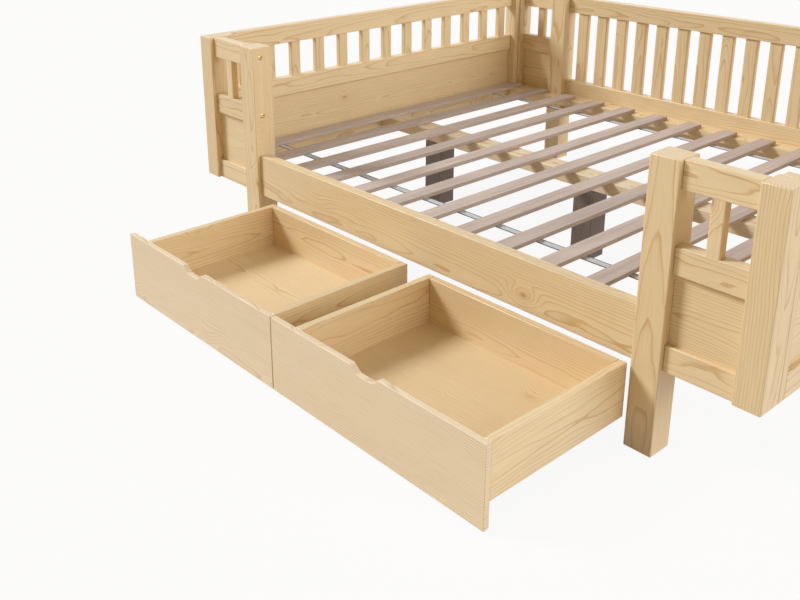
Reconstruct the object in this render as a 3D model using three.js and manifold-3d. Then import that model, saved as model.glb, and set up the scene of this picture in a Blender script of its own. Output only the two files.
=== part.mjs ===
// Platform bed with slatted ends, a back guard and two roll-out drawers.
// Millimetres, +Z up. The front of the bed faces -Y and the drawers stand pulled out.
// The origin is on the floor, in the middle of the ground that the bed and its open drawers cover.

import * as THREE from 'three';
import Module from 'manifold-3d';
import { mergeVertices } from 'three/addons/utils/BufferGeometryUtils.js';

const wasm = await Module();
wasm.setup();

// Overall sizes
const BED_LENGTH = 2110;
const BED_DEPTH = 1690;
const BED_HEIGHT = 725;

// Clearances
const FIT_GAP = 0.3;
const TENON_END_GAP = 0.6;
const REBATE = 1;
const DRAWER_TOP_GAP = 3;
const DRAWER_SIDE_GAP = 4;
const DRAWER_CENTRE_GAP = 3;
const DRAWER_BACK_GAP = 3;

// Posts
const CORNER_POST = 75;
const OUTER_POST_WIDTH = 66;
const RETURN_LENGTH = 240;
const POST_ROUND = 4;

// Rails and panels of the two ends
const BOX_UNDERSIDE = 225;
const END_RAIL_HEIGHT = 66;
const MID_RAIL_UNDERSIDE = 464;
const RAIL_THICKNESS = 35;
const RAIL_SETBACK = 12;
const RAIL_ROUND = 3;
const PANEL_THICKNESS = 10;
const GROOVE_DEPTH = 10;
const STILE_WIDTH = 25;
const STILE_DEPTH = 60;

// Tenons
const TENON_THICKNESS = 12;
const RAIL_TENON_HEIGHT = 40;
const STILE_TENON_LENGTH = 12;
const POST_TENON_LENGTH = 15;
const SPINDLE_TENON_LENGTH = 12;
const SPINDLE_SHOULDER = 6;

// Spindles
const END_SPINDLE_COUNT = 13;
const END_SPINDLE_WIDTH = 41;
const END_SPINDLE_THICKNESS = 22;
const RETURN_SPINDLE_WIDTH = 34;
const RETURN_SPINDLE_THICKNESS = 24;
const GUARD_SPINDLE_COUNT = 15;
const GUARD_SPINDLE_WIDTH = 49;
const GUARD_SPINDLE_THICKNESS = 22;
const SPINDLE_ROUND = 4;

// Long side rails
const SIDE_RAIL_UNDERSIDE = 222;
const SIDE_RAIL_HEIGHT = 140;
const SIDE_TENON_HEIGHT = 100;
const GUARD_TENON_HEIGHT = 16;
const GUARD_TENON_RISE = 4;

// Slatted base
const SLAT_COUNT = 14;
const SLAT_WIDTH = 57;
const SLAT_THICKNESS = 13;
const SLAT_SETBACK = 80;
const SLAT_END_MARGIN = 3;
const SLAT_UNDERSIDE = 297;
const LEDGER_WIDTH = 72;
const LEDGER_HEIGHT = 30;
const BEAM_WIDTH = 80;
const BEAM_HEIGHT = 44;
const CENTRE_LEG = 80;
const CENTRE_LEG_SPACING = 720;
const STRAP_WIDTH = 28;
const STRAP_THICKNESS = 2;
const STRAP_INSET = 261;

// Bolt holes through the corner posts
const BOLT_HEAD_DIAMETER = 16;
const BOLT_HEAD_HEIGHT = 4;
const BOLT_SHANK_DIAMETER = 6;
const BOLT_GRIP = 55;

// Drawers
const DRAWER_FLOOR_GAP = 9;
const DRAWER_FRONT_THICKNESS = 16.5;
const DRAWER_BOARD = 22;
const DRAWER_BOX_UNDERSIDE = 75;
const DRAWER_BOX_HEIGHT = 144;
const DRAWER_BOX_DEPTH = 479;
const DRAWER_LEFT_INSET = 84;
const DRAWER_RIGHT_INSET = 1;
const DRAWER_BOTTOM_THICKNESS = 10;
const DRAWER_BOTTOM_RISE = 3;
const DRAWER_GROOVE_DEPTH = 6;
const NOTCH_WIDTH = 103;
const NOTCH_DEPTH = 18;
const NOTCH_RADIUS = 14;
const NOTCH_SHIFT = -7;
const EDGE_BEVEL = 1.5;

// Casters
const WHEEL_DIAMETER = 50;
const WHEEL_WIDTH = 18;
const WHEEL_SHOULDER = 3;
const AXLE_DIAMETER = 6;
const CASTER_PLATE = 2.5;
const CASTER_PLATE_LENGTH = 64;
const CASTER_PLATE_WIDTH = 44;
const CASTER_CHEEK = 2.5;
const CASTER_CHEEK_LENGTH = 30;
const CASTER_CHEEK_GAP = 0.8;
const CASTER_INSET_X = 95;
const CASTER_INSET_Y = 80;
const WHEEL_SIDES = 18;

// Places that several pieces share
const halfLength = BED_LENGTH / 2;
const halfDepth = BED_DEPTH / 2;
const cornerPostX = halfLength - RETURN_LENGTH - CORNER_POST / 2;
const postY = halfDepth - CORNER_POST / 2;
const clearHalf = cornerPostX - CORNER_POST / 2;
const returnInnerX = cornerPostX + CORNER_POST / 2;
const returnOuterX = halfLength - OUTER_POST_WIDTH;
const stileOuterY = halfDepth - CORNER_POST - FIT_GAP;
const stileInnerY = stileOuterY - STILE_WIDTH;
const railCentreY = halfDepth - RAIL_SETBACK - RAIL_THICKNESS / 2;
const railFromPost = railCentreY - postY;
const endRailX = halfLength - RAIL_THICKNESS / 2;
const endInnerX = halfLength - RAIL_THICKNESS;
const topRailUnderside = BED_HEIGHT - END_RAIL_HEIGHT;
const topRailZ = BED_HEIGHT - END_RAIL_HEIGHT / 2;
const midRailZ = MID_RAIL_UNDERSIDE + END_RAIL_HEIGHT / 2;
const midRailTop = MID_RAIL_UNDERSIDE + END_RAIL_HEIGHT;
const bottomRailZ = BOX_UNDERSIDE + END_RAIL_HEIGHT / 2;
const bottomRailTop = BOX_UNDERSIDE + END_RAIL_HEIGHT;
const sideRailZ = SIDE_RAIL_UNDERSIDE + SIDE_RAIL_HEIGHT / 2;
const sideRailTop = SIDE_RAIL_UNDERSIDE + SIDE_RAIL_HEIGHT;
const sideRailInnerY = halfDepth - RAIL_SETBACK - RAIL_THICKNESS;
const panelTongue = GROOVE_DEPTH - FIT_GAP;
const boltZ = [topRailZ, midRailZ];
const drawerPull = DRAWER_BOX_DEPTH + DRAWER_BACK_GAP;

// Materials
const PINE = { color: 0xe1c8a0, roughness: 0.55, metalness: 0 };
const SHADED_PINE = { color: 0xcfa873, roughness: 0.6, metalness: 0 };
const LAMINATE = { color: 0xbea594, roughness: 0.65, metalness: 0 };
const WEBBING = { color: 0xc9cbd0, roughness: 0.85, metalness: 0 };
const NYLON = { color: 0x2b2b2d, roughness: 0.6, metalness: 0 };

// Turns a closed geometry into a solid for cutting and joining
function solid(geometry) {
  const bare = geometry.clone();
  bare.deleteAttribute('normal');
  bare.deleteAttribute('uv');
  const merged = mergeVertices(bare, 1e-5);
  const mesh = new wasm.Mesh({
    numProp: 3,
    vertProperties: new Float32Array(merged.attributes.position.array),
    triVerts: new Uint32Array(merged.index.array),
  });
  mesh.merge();
  return new wasm.Manifold(mesh);
}

// Turns a solid back into a geometry
function toGeometry(body) {
  const mesh = body.getMesh();
  const geometry = new THREE.BufferGeometry();
  const stride = mesh.numProp;
  const count = mesh.vertProperties.length / stride;
  const points = new Float32Array(count * 3);
  for (let i = 0; i < count; i += 1) {
    points[i * 3] = mesh.vertProperties[i * stride];
    points[i * 3 + 1] = mesh.vertProperties[i * stride + 1];
    points[i * 3 + 2] = mesh.vertProperties[i * stride + 2];
  }
  geometry.setAttribute('position', new THREE.BufferAttribute(points, 3));
  geometry.setIndex(new THREE.BufferAttribute(new Uint32Array(mesh.triVerts), 1));
  geometry.computeVertexNormals();
  return geometry;
}

// A named piece at its place in the bed
function piece(name, body, look, x = 0, y = 0, z = 0) {
  const mesh = new THREE.Mesh(toGeometry(body), new THREE.MeshStandardMaterial(look));
  mesh.name = name;
  mesh.position.set(x, y, z);
  return mesh;
}

// A block between two opposite corners
function block(x0, x1, y0, y1, z0, z1) {
  const geometry = new THREE.BoxGeometry(x1 - x0, y1 - y0, z1 - z0);
  geometry.translate((x0 + x1) / 2, (y0 + y1) / 2, (z0 + z1) / 2);
  return solid(geometry);
}

// A block of the given size about a centre
function blockAt(x, y, z, width, depth, height) {
  const geometry = new THREE.BoxGeometry(width, depth, height);
  geometry.translate(x, y, z);
  return solid(geometry);
}

// Outline of a board's section with eased corners
function easedSection(width, height, round) {
  const r = Math.min(round, width / 2 - 0.1, height / 2 - 0.1);
  const a = width / 2;
  const b = height / 2;
  const shape = new THREE.Shape();
  shape.moveTo(-a + r, -b);
  shape.lineTo(a - r, -b);
  shape.absarc(a - r, -b + r, r, -Math.PI / 2, 0, false);
  shape.lineTo(a, b - r);
  shape.absarc(a - r, b - r, r, 0, Math.PI / 2, false);
  shape.lineTo(-a + r, b);
  shape.absarc(-a + r, b - r, r, Math.PI / 2, Math.PI, false);
  shape.lineTo(-a, -b + r);
  shape.absarc(-a + r, -b + r, r, Math.PI, Math.PI * 1.5, false);
  return shape;
}

// A straight board about its own centre, with its length along one axis
function board(axis, length, first, second, round, steps = 1) {
  const along = { depth: length, bevelEnabled: false, curveSegments: steps };
  const section = axis === 'x' ? easedSection(second, first, round) : easedSection(first, second, round);
  const geometry = new THREE.ExtrudeGeometry(section, along);
  geometry.translate(0, 0, -length / 2);
  if (axis === 'x') geometry.rotateY(Math.PI / 2);
  if (axis === 'y') geometry.rotateX(-Math.PI / 2);
  return solid(geometry);
}

// A round bar or hole along X about a centre
function barX(x, y, z, diameter, length, sides = 10) {
  const geometry = new THREE.CylinderGeometry(diameter / 2, diameter / 2, length, sides);
  geometry.rotateZ(Math.PI / 2);
  geometry.translate(x, y, z);
  return solid(geometry);
}

// A pocket is this much larger than the tongue or tenon that it takes
function pocket(size) {
  return size + 2 * FIT_GAP;
}

// Centres of a row of pieces, with half a gap at each end of the row
function rowWithHalfGaps(clear, count) {
  const pitch = clear / count;
  return Array.from({ length: count }, (_, i) => -clear / 2 + pitch * (i + 0.5));
}

// Centres of a row of pieces, with the same gap everywhere
function rowWithFullGaps(clear, count, width) {
  const gap = (clear - count * width) / (count + 1);
  return Array.from({ length: count }, (_, i) => -clear / 2 + gap + width / 2 + i * (width + gap));
}

// Corner post, drawn for the front right corner: -X faces the drawers and -Y faces the front
function cornerPost(guardSide) {
  const half = CORNER_POST / 2;
  const y = -railFromPost;
  let post = board('z', BED_HEIGHT, CORNER_POST, CORNER_POST, POST_ROUND, 2);
  post = post.translate([0, 0, BED_HEIGHT / 2]);
  const grooveX = half - panelTongue - FIT_GAP;
  const grooveBottom = bottomRailTop - panelTongue - FIT_GAP;
  const grooveTop = MID_RAIL_UNDERSIDE + panelTongue + FIT_GAP;
  const grooveHalf = pocket(PANEL_THICKNESS) / 2;
  post = post.subtract(block(grooveX, half + 1, y - grooveHalf, y + grooveHalf, grooveBottom, grooveTop));
  const headHole = BOLT_HEAD_HEIGHT + FIT_GAP;
  for (const z of boltZ) {
    post = post.subtract(barX(0, y, z, pocket(BOLT_SHANK_DIAMETER), CORNER_POST + 2));
    post = post.subtract(barX(-half - 0.5 + headHole / 2, y, z, pocket(BOLT_HEAD_DIAMETER), headHole + 1, 16));
  }
  const reach = POST_TENON_LENGTH + TENON_END_GAP;
  const thick = pocket(TENON_THICKNESS);
  const sideHole = pocket(SIDE_TENON_HEIGHT);
  post = post.subtract(blockAt(-half + reach / 2 - 0.5, y, sideRailZ, reach + 1, thick, sideHole));
  if (guardSide) {
    const z = topRailUnderside + GUARD_TENON_RISE + GUARD_TENON_HEIGHT / 2;
    post = post.subtract(blockAt(-half + reach / 2 - 0.5, y, z, reach + 1, thick, pocket(GUARD_TENON_HEIGHT)));
  }
  return post;
}

// Outer post with its stile and the rails of its return, drawn for the front right corner
function outerPost() {
  const height = BED_HEIGHT - BOX_UNDERSIDE;
  const postX = halfLength - OUTER_POST_WIDTH / 2;
  const reach = panelTongue + FIT_GAP;
  const upright = board('z', height, OUTER_POST_WIDTH, CORNER_POST, POST_ROUND, 2);
  let post = upright.translate([postX, -postY, BOX_UNDERSIDE + height / 2]);
  post = post.add(endStile(height));

  const inner = returnInnerX + FIT_GAP;
  const length = returnOuterX + REBATE - inner;
  const boltReach = BOLT_GRIP + TENON_END_GAP;
  for (const z of [topRailZ, midRailZ, bottomRailZ]) {
    const rail = board('x', length, RAIL_THICKNESS, END_RAIL_HEIGHT, RAIL_ROUND);
    post = post.add(rail.translate([inner + length / 2, -railCentreY, z]));
  }
  for (const z of boltZ) {
    const holeX = inner + boltReach / 2 - 0.5;
    post = post.subtract(barX(holeX, -railCentreY, z, pocket(BOLT_SHANK_DIAMETER), boltReach + 1));
  }
  const grooveLow = bottomRailTop - reach;
  const grooveHigh = MID_RAIL_UNDERSIDE + reach;
  const grooveHalf = pocket(PANEL_THICKNESS) / 2;
  const grooveFront = -railCentreY - grooveHalf;
  const grooveBack = -railCentreY + grooveHalf;
  post = post.subtract(block(inner - 1, returnOuterX + reach, grooveFront, grooveBack, grooveLow, grooveHigh));

  const clear = topRailUnderside - midRailTop;
  const stick = board('z', clear + 2 * REBATE, RETURN_SPINDLE_WIDTH, RETURN_SPINDLE_THICKNESS, SPINDLE_ROUND);
  const spindleX = (returnInnerX + returnOuterX) / 2;
  const spindleY = -railCentreY - (RAIL_THICKNESS - RETURN_SPINDLE_THICKNESS) / 2;
  post = post.add(stick.translate([spindleX, spindleY, midRailTop + clear / 2]));
  return post.translate([-postX, postY, 0]);
}

// Stile beside an outer post, with the mortises and the groove that take the end's rails and panel
function endStile(height) {
  const x = halfLength - STILE_DEPTH / 2;
  const y = -(stileOuterY + stileInnerY) / 2;
  const reach = STILE_TENON_LENGTH + TENON_END_GAP;
  let stile = board('z', height, STILE_DEPTH, STILE_WIDTH + 2 * REBATE, RAIL_ROUND);
  stile = stile.translate([x, y - REBATE, BOX_UNDERSIDE + height / 2]);
  for (const z of [topRailZ, midRailZ, bottomRailZ]) {
    const hole = blockAt(endRailX, -stileInnerY, z, pocket(TENON_THICKNESS), 2 * reach, pocket(RAIL_TENON_HEIGHT));
    stile = stile.subtract(hole);
  }
  const grooveDeep = 2 * (panelTongue + FIT_GAP);
  const grooveHeight = MID_RAIL_UNDERSIDE - bottomRailTop + grooveDeep;
  const grooveZ = (MID_RAIL_UNDERSIDE + bottomRailTop) / 2;
  return stile.subtract(blockAt(endRailX, -stileInnerY, grooveZ, pocket(PANEL_THICKNESS), grooveDeep, grooveHeight));
}

// A spindle standing on z = 0, rooted below and tenoned above, its width along X
function spindleBody(width, thickness, clear) {
  const length = clear - FIT_GAP + REBATE;
  const tenonWidth = width - 2 * SPINDLE_SHOULDER;
  const tenonTop = clear + SPINDLE_TENON_LENGTH;
  const stick = board('z', length, width, thickness, SPINDLE_ROUND).translate([0, 0, length / 2 - REBATE]);
  const half = tenonWidth / 2;
  return stick.add(block(-half, half, -TENON_THICKNESS / 2, TENON_THICKNESS / 2, clear / 2, tenonTop));
}

// Panel of a return, in the grooves of its rails and posts
function returnPanel() {
  const width = returnOuterX - returnInnerX + 2 * panelTongue;
  const height = MID_RAIL_UNDERSIDE - bottomRailTop + 2 * panelTongue;
  return blockAt(0, 0, 0, width, PANEL_THICKNESS, height);
}

// Tenoned rail along Y between the stiles of an end
function endRail() {
  const length = 2 * (stileInnerY - FIT_GAP);
  const tenons = length + 2 * (STILE_TENON_LENGTH + FIT_GAP);
  const rail = board('y', length, RAIL_THICKNESS, END_RAIL_HEIGHT, RAIL_ROUND);
  return rail.add(blockAt(0, 0, 0, TENON_THICKNESS, tenons, RAIL_TENON_HEIGHT));
}

// Groove along the edge of an end rail, above or below it
function endRailGroove(side) {
  const z = side * END_RAIL_HEIGHT / 2;
  return blockAt(0, 0, z, pocket(PANEL_THICKNESS), BED_DEPTH, 2 * (panelTongue + FIT_GAP));
}

// Spindle pockets along the underside of an end's top rail
function endRailMortises() {
  const deep = 2 * (SPINDLE_TENON_LENGTH + TENON_END_GAP);
  const wide = pocket(END_SPINDLE_WIDTH - 2 * SPINDLE_SHOULDER);
  const holes = rowWithHalfGaps(2 * stileInnerY, END_SPINDLE_COUNT).map((y) => {
    return blockAt(0, y, -END_RAIL_HEIGHT / 2, pocket(TENON_THICKNESS), wide, deep);
  });
  return holes.reduce((all, one) => all.add(one));
}

// Row of spindles that stand on an end's middle rail
function endRailSpindles() {
  const stick = spindleBody(END_SPINDLE_WIDTH, END_SPINDLE_THICKNESS, topRailUnderside - midRailTop);
  const turned = stick.rotate([0, 0, 90]);
  const row = rowWithHalfGaps(2 * stileInnerY, END_SPINDLE_COUNT);
  const sticks = row.map((y) => turned.translate([0, y, END_RAIL_HEIGHT / 2]));
  return sticks.reduce((all, one) => all.add(one));
}

// Everything at one end of the bed, drawn for the right end
function endGroup(end, nearName, farName, guardNear) {
  const group = new THREE.Group();
  const near = cornerPost(guardNear);
  const far = cornerPost(!guardNear).mirror([0, 1, 0]);
  group.add(piece(`corner_post_${nearName}`, near, PINE, cornerPostX, -postY, 0));
  group.add(piece(`corner_post_${farName}`, far, PINE, cornerPostX, postY, 0));
  const post = outerPost();
  const outerX = halfLength - OUTER_POST_WIDTH / 2;
  group.add(piece(`outer_post_${nearName}`, post, PINE, outerX, -postY, 0));
  group.add(piece(`outer_post_${farName}`, post.mirror([0, 1, 0]), PINE, outerX, postY, 0));
  const panelX = (returnInnerX + returnOuterX) / 2;
  const panelZ = (MID_RAIL_UNDERSIDE + bottomRailTop) / 2;
  group.add(piece(`return_panel_${nearName}`, returnPanel(), PINE, panelX, -railCentreY, panelZ));
  group.add(piece(`return_panel_${farName}`, returnPanel(), PINE, panelX, railCentreY, panelZ));

  const top = endRail().subtract(endRailMortises());
  const mid = endRail().subtract(endRailGroove(-1)).add(endRailSpindles());
  const bottom = endRail().subtract(endRailGroove(1));
  group.add(piece(`${end}_end_top_rail`, top, PINE, endRailX, 0, topRailZ));
  group.add(piece(`${end}_end_mid_rail`, mid, PINE, endRailX, 0, midRailZ));
  group.add(piece(`${end}_end_bottom_rail`, bottom, PINE, endRailX, 0, bottomRailZ));
  const panelDepth = 2 * (stileInnerY + panelTongue);
  const panelHeight = MID_RAIL_UNDERSIDE - bottomRailTop + 2 * panelTongue;
  const panel = blockAt(0, 0, 0, PANEL_THICKNESS, panelDepth, panelHeight);
  group.add(piece(`${end}_end_panel`, panel, PINE, endRailX, 0, panelZ));
  return group;
}

// Long rail along X between two corner posts, with a tenon at each end
function sideRail(height, tenonHeight, tenonZ) {
  const length = 2 * (clearHalf - FIT_GAP);
  const tenons = 2 * (clearHalf + POST_TENON_LENGTH);
  const rail = board('x', length, RAIL_THICKNESS, height, RAIL_ROUND);
  return rail.add(blockAt(0, 0, tenonZ, tenons, TENON_THICKNESS, tenonHeight));
}

// Front rail, and the guard with its spindles along the back
function longSides() {
  const group = new THREE.Group();
  const front = sideRail(SIDE_RAIL_HEIGHT, SIDE_TENON_HEIGHT, 0);
  group.add(piece('front_side_rail', front, PINE, 0, -railCentreY, sideRailZ));
  const centres = rowWithFullGaps(2 * clearHalf, GUARD_SPINDLE_COUNT, GUARD_SPINDLE_WIDTH);
  const wide = pocket(GUARD_SPINDLE_WIDTH - 2 * SPINDLE_SHOULDER);
  const deep = 2 * (SPINDLE_TENON_LENGTH + TENON_END_GAP);
  const thick = pocket(TENON_THICKNESS);
  const stick = spindleBody(GUARD_SPINDLE_WIDTH, GUARD_SPINDLE_THICKNESS, topRailUnderside - sideRailTop);
  const spindles = centres.map((x) => stick.translate([x, 0, SIDE_RAIL_HEIGHT / 2]));
  const back = spindles.reduce((all, one) => all.add(one), front);
  group.add(piece('back_side_rail', back, PINE, 0, railCentreY, sideRailZ));
  const tenonZ = -END_RAIL_HEIGHT / 2 + GUARD_TENON_RISE + GUARD_TENON_HEIGHT / 2;
  const highHoles = centres.map((x) => blockAt(x, 0, -END_RAIL_HEIGHT / 2, wide, thick, deep));
  const guard = sideRail(END_RAIL_HEIGHT, GUARD_TENON_HEIGHT, tenonZ);
  const top = guard.subtract(highHoles.reduce((all, one) => all.add(one)));
  group.add(piece('guard_top_rail', top, PINE, 0, railCentreY, topRailZ));
  return group;
}

// Ledger along the front, notched round the two corner posts
function ledger() {
  const outerY = sideRailInnerY - FIT_GAP;
  const innerY = outerY - LEDGER_WIDTH;
  const length = 2 * (returnOuterX - FIT_GAP);
  const y = -(outerY + innerY) / 2;
  let strip = board('x', length, LEDGER_WIDTH, LEDGER_HEIGHT, 1);
  for (const side of [-1, 1]) {
    const notch = pocket(CORNER_POST);
    const notchY = -postY - y;
    strip = strip.subtract(blockAt(side * cornerPostX, notchY, 0, notch, notch, LEDGER_HEIGHT + 2));
  }
  return { body: strip, y };
}

// Slats, their straps, the ledgers, the centre beam and its legs
function slattedBase() {
  const group = new THREE.Group();
  const strip = ledger();
  const ledgerZ = SLAT_UNDERSIDE - FIT_GAP - LEDGER_HEIGHT / 2;
  group.add(piece('front_ledger', strip.body, SHADED_PINE, 0, strip.y, ledgerZ));
  group.add(piece('back_ledger', strip.body.mirror([0, 1, 0]), SHADED_PINE, 0, -strip.y, ledgerZ));

  const beamLength = 2 * (endInnerX - FIT_GAP);
  const beamZ = SLAT_UNDERSIDE - FIT_GAP - BEAM_HEIGHT / 2;
  const legHeight = SLAT_UNDERSIDE - BEAM_HEIGHT / 2;
  const leg = board('z', legHeight, CENTRE_LEG, CENTRE_LEG, 2).translate([0, 0, legHeight / 2 - beamZ]);
  let beam = board('x', beamLength, BEAM_WIDTH, BEAM_HEIGHT, 2);
  for (const i of [-1, 0, 1]) {
    beam = beam.add(leg.translate([i * CENTRE_LEG_SPACING, 0, 0]));
  }
  group.add(piece('centre_beam', beam, PINE, 0, 0, beamZ));

  const slatLength = 2 * (halfDepth - SLAT_SETBACK);
  const firstX = endInnerX - SLAT_END_MARGIN - SLAT_WIDTH / 2;
  const slat = board('y', slatLength, SLAT_WIDTH, SLAT_THICKNESS, 2);
  const pitch = 2 * firstX / (SLAT_COUNT - 1);
  const slatZ = SLAT_UNDERSIDE + SLAT_THICKNESS / 2;
  const notchX = halfLength - STILE_DEPTH - FIT_GAP;
  const notchY = stileInnerY - FIT_GAP;
  for (let i = 0; i < SLAT_COUNT; i += 1) {
    const x = -firstX + i * pitch;
    let one = slat;
    for (const side of [-1, 1]) {
      const inside = blockAt(side * (notchX + BED_LENGTH / 2) - x, 0, 0, BED_LENGTH, BED_DEPTH, BED_HEIGHT);
      const middle = blockAt(0, 0, 0, BED_LENGTH * 3, 2 * notchY, BED_HEIGHT);
      one = one.subtract(inside.subtract(middle));
    }
    group.add(piece(`slat_${i + 1}`, one, LAMINATE, x, 0, slatZ));
  }

  const strapLength = 2 * firstX + SLAT_WIDTH;
  const strapY = halfDepth - STRAP_INSET;
  const strapZ = SLAT_UNDERSIDE - FIT_GAP - STRAP_THICKNESS / 2;
  const strap = blockAt(0, 0, 0, strapLength, STRAP_WIDTH, STRAP_THICKNESS);
  group.add(piece('front_strap', strap, WEBBING, 0, -strapY, strapZ));
  group.add(piece('back_strap', strap, WEBBING, 0, strapY, strapZ));
  return group;
}

// Outline of a drawer front, with the hand notch in its top edge
function drawerFrontShape(width, height) {
  const a = width / 2;
  const x0 = NOTCH_SHIFT - NOTCH_WIDTH / 2;
  const x1 = NOTCH_SHIFT + NOTCH_WIDTH / 2;
  const r = NOTCH_RADIUS;
  const low = height - NOTCH_DEPTH;
  const knee = height - NOTCH_DEPTH * 0.6;
  const shape = new THREE.Shape();
  shape.moveTo(-a, 0);
  shape.lineTo(a, 0);
  shape.lineTo(a, height);
  shape.lineTo(x1, height);
  shape.quadraticCurveTo(x1 - r * 0.5, height, x1 - r, knee);
  shape.quadraticCurveTo(x1 - r * 1.3, low, x1 - r * 2, low);
  shape.lineTo(x0 + r * 2, low);
  shape.quadraticCurveTo(x0 + r * 1.3, low, x0 + r, knee);
  shape.quadraticCurveTo(x0 + r * 0.5, height, x0, height);
  shape.lineTo(-a, height);
  return shape;
}

// Caster wheel about its axle along X
function wheel() {
  const outer = WHEEL_DIAMETER / 2;
  const bore = AXLE_DIAMETER / 2 + FIT_GAP;
  const half = WHEEL_WIDTH / 2;
  const profile = [
    new THREE.Vector2(bore, -half),
    new THREE.Vector2(outer - WHEEL_SHOULDER, -half),
    new THREE.Vector2(outer, -half + WHEEL_SHOULDER),
    new THREE.Vector2(outer, half - WHEEL_SHOULDER),
    new THREE.Vector2(outer - WHEEL_SHOULDER, half),
    new THREE.Vector2(bore, half),
    new THREE.Vector2(bore, -half),
  ];
  const geometry = new THREE.LatheGeometry(profile, WHEEL_SIDES);
  geometry.rotateZ(-Math.PI / 2);
  return solid(geometry);
}

// Caster bracket about its axle: a plate, two cheeks and the axle pin
function bracket(plateTop) {
  const inner = WHEEL_WIDTH / 2 + CASTER_CHEEK_GAP;
  const outer = inner + CASTER_CHEEK;
  const nose = AXLE_DIAMETER;
  const cheekShape = new THREE.Shape();
  cheekShape.moveTo(-CASTER_CHEEK_LENGTH / 2, plateTop);
  cheekShape.lineTo(-nose, 0);
  cheekShape.absarc(0, 0, nose, Math.PI, 2 * Math.PI, false);
  cheekShape.lineTo(CASTER_CHEEK_LENGTH / 2, plateTop);
  const geometry = new THREE.ExtrudeGeometry(cheekShape, { depth: CASTER_CHEEK, bevelEnabled: false, curveSegments: 6 });
  geometry.rotateX(Math.PI / 2);
  geometry.rotateZ(Math.PI / 2);
  const cheek = solid(geometry);
  const width = CASTER_PLATE_WIDTH / 2;
  const length = CASTER_PLATE_LENGTH / 2;
  let body = block(-width, width, -length, length, plateTop - CASTER_PLATE, plateTop);
  body = body.add(cheek.translate([inner, 0, 0]));
  body = body.add(cheek.translate([-outer, 0, 0]));
  return body.add(barX(0, 0, 0, AXLE_DIAMETER, 2 * outer - 1, 12));
}

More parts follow.
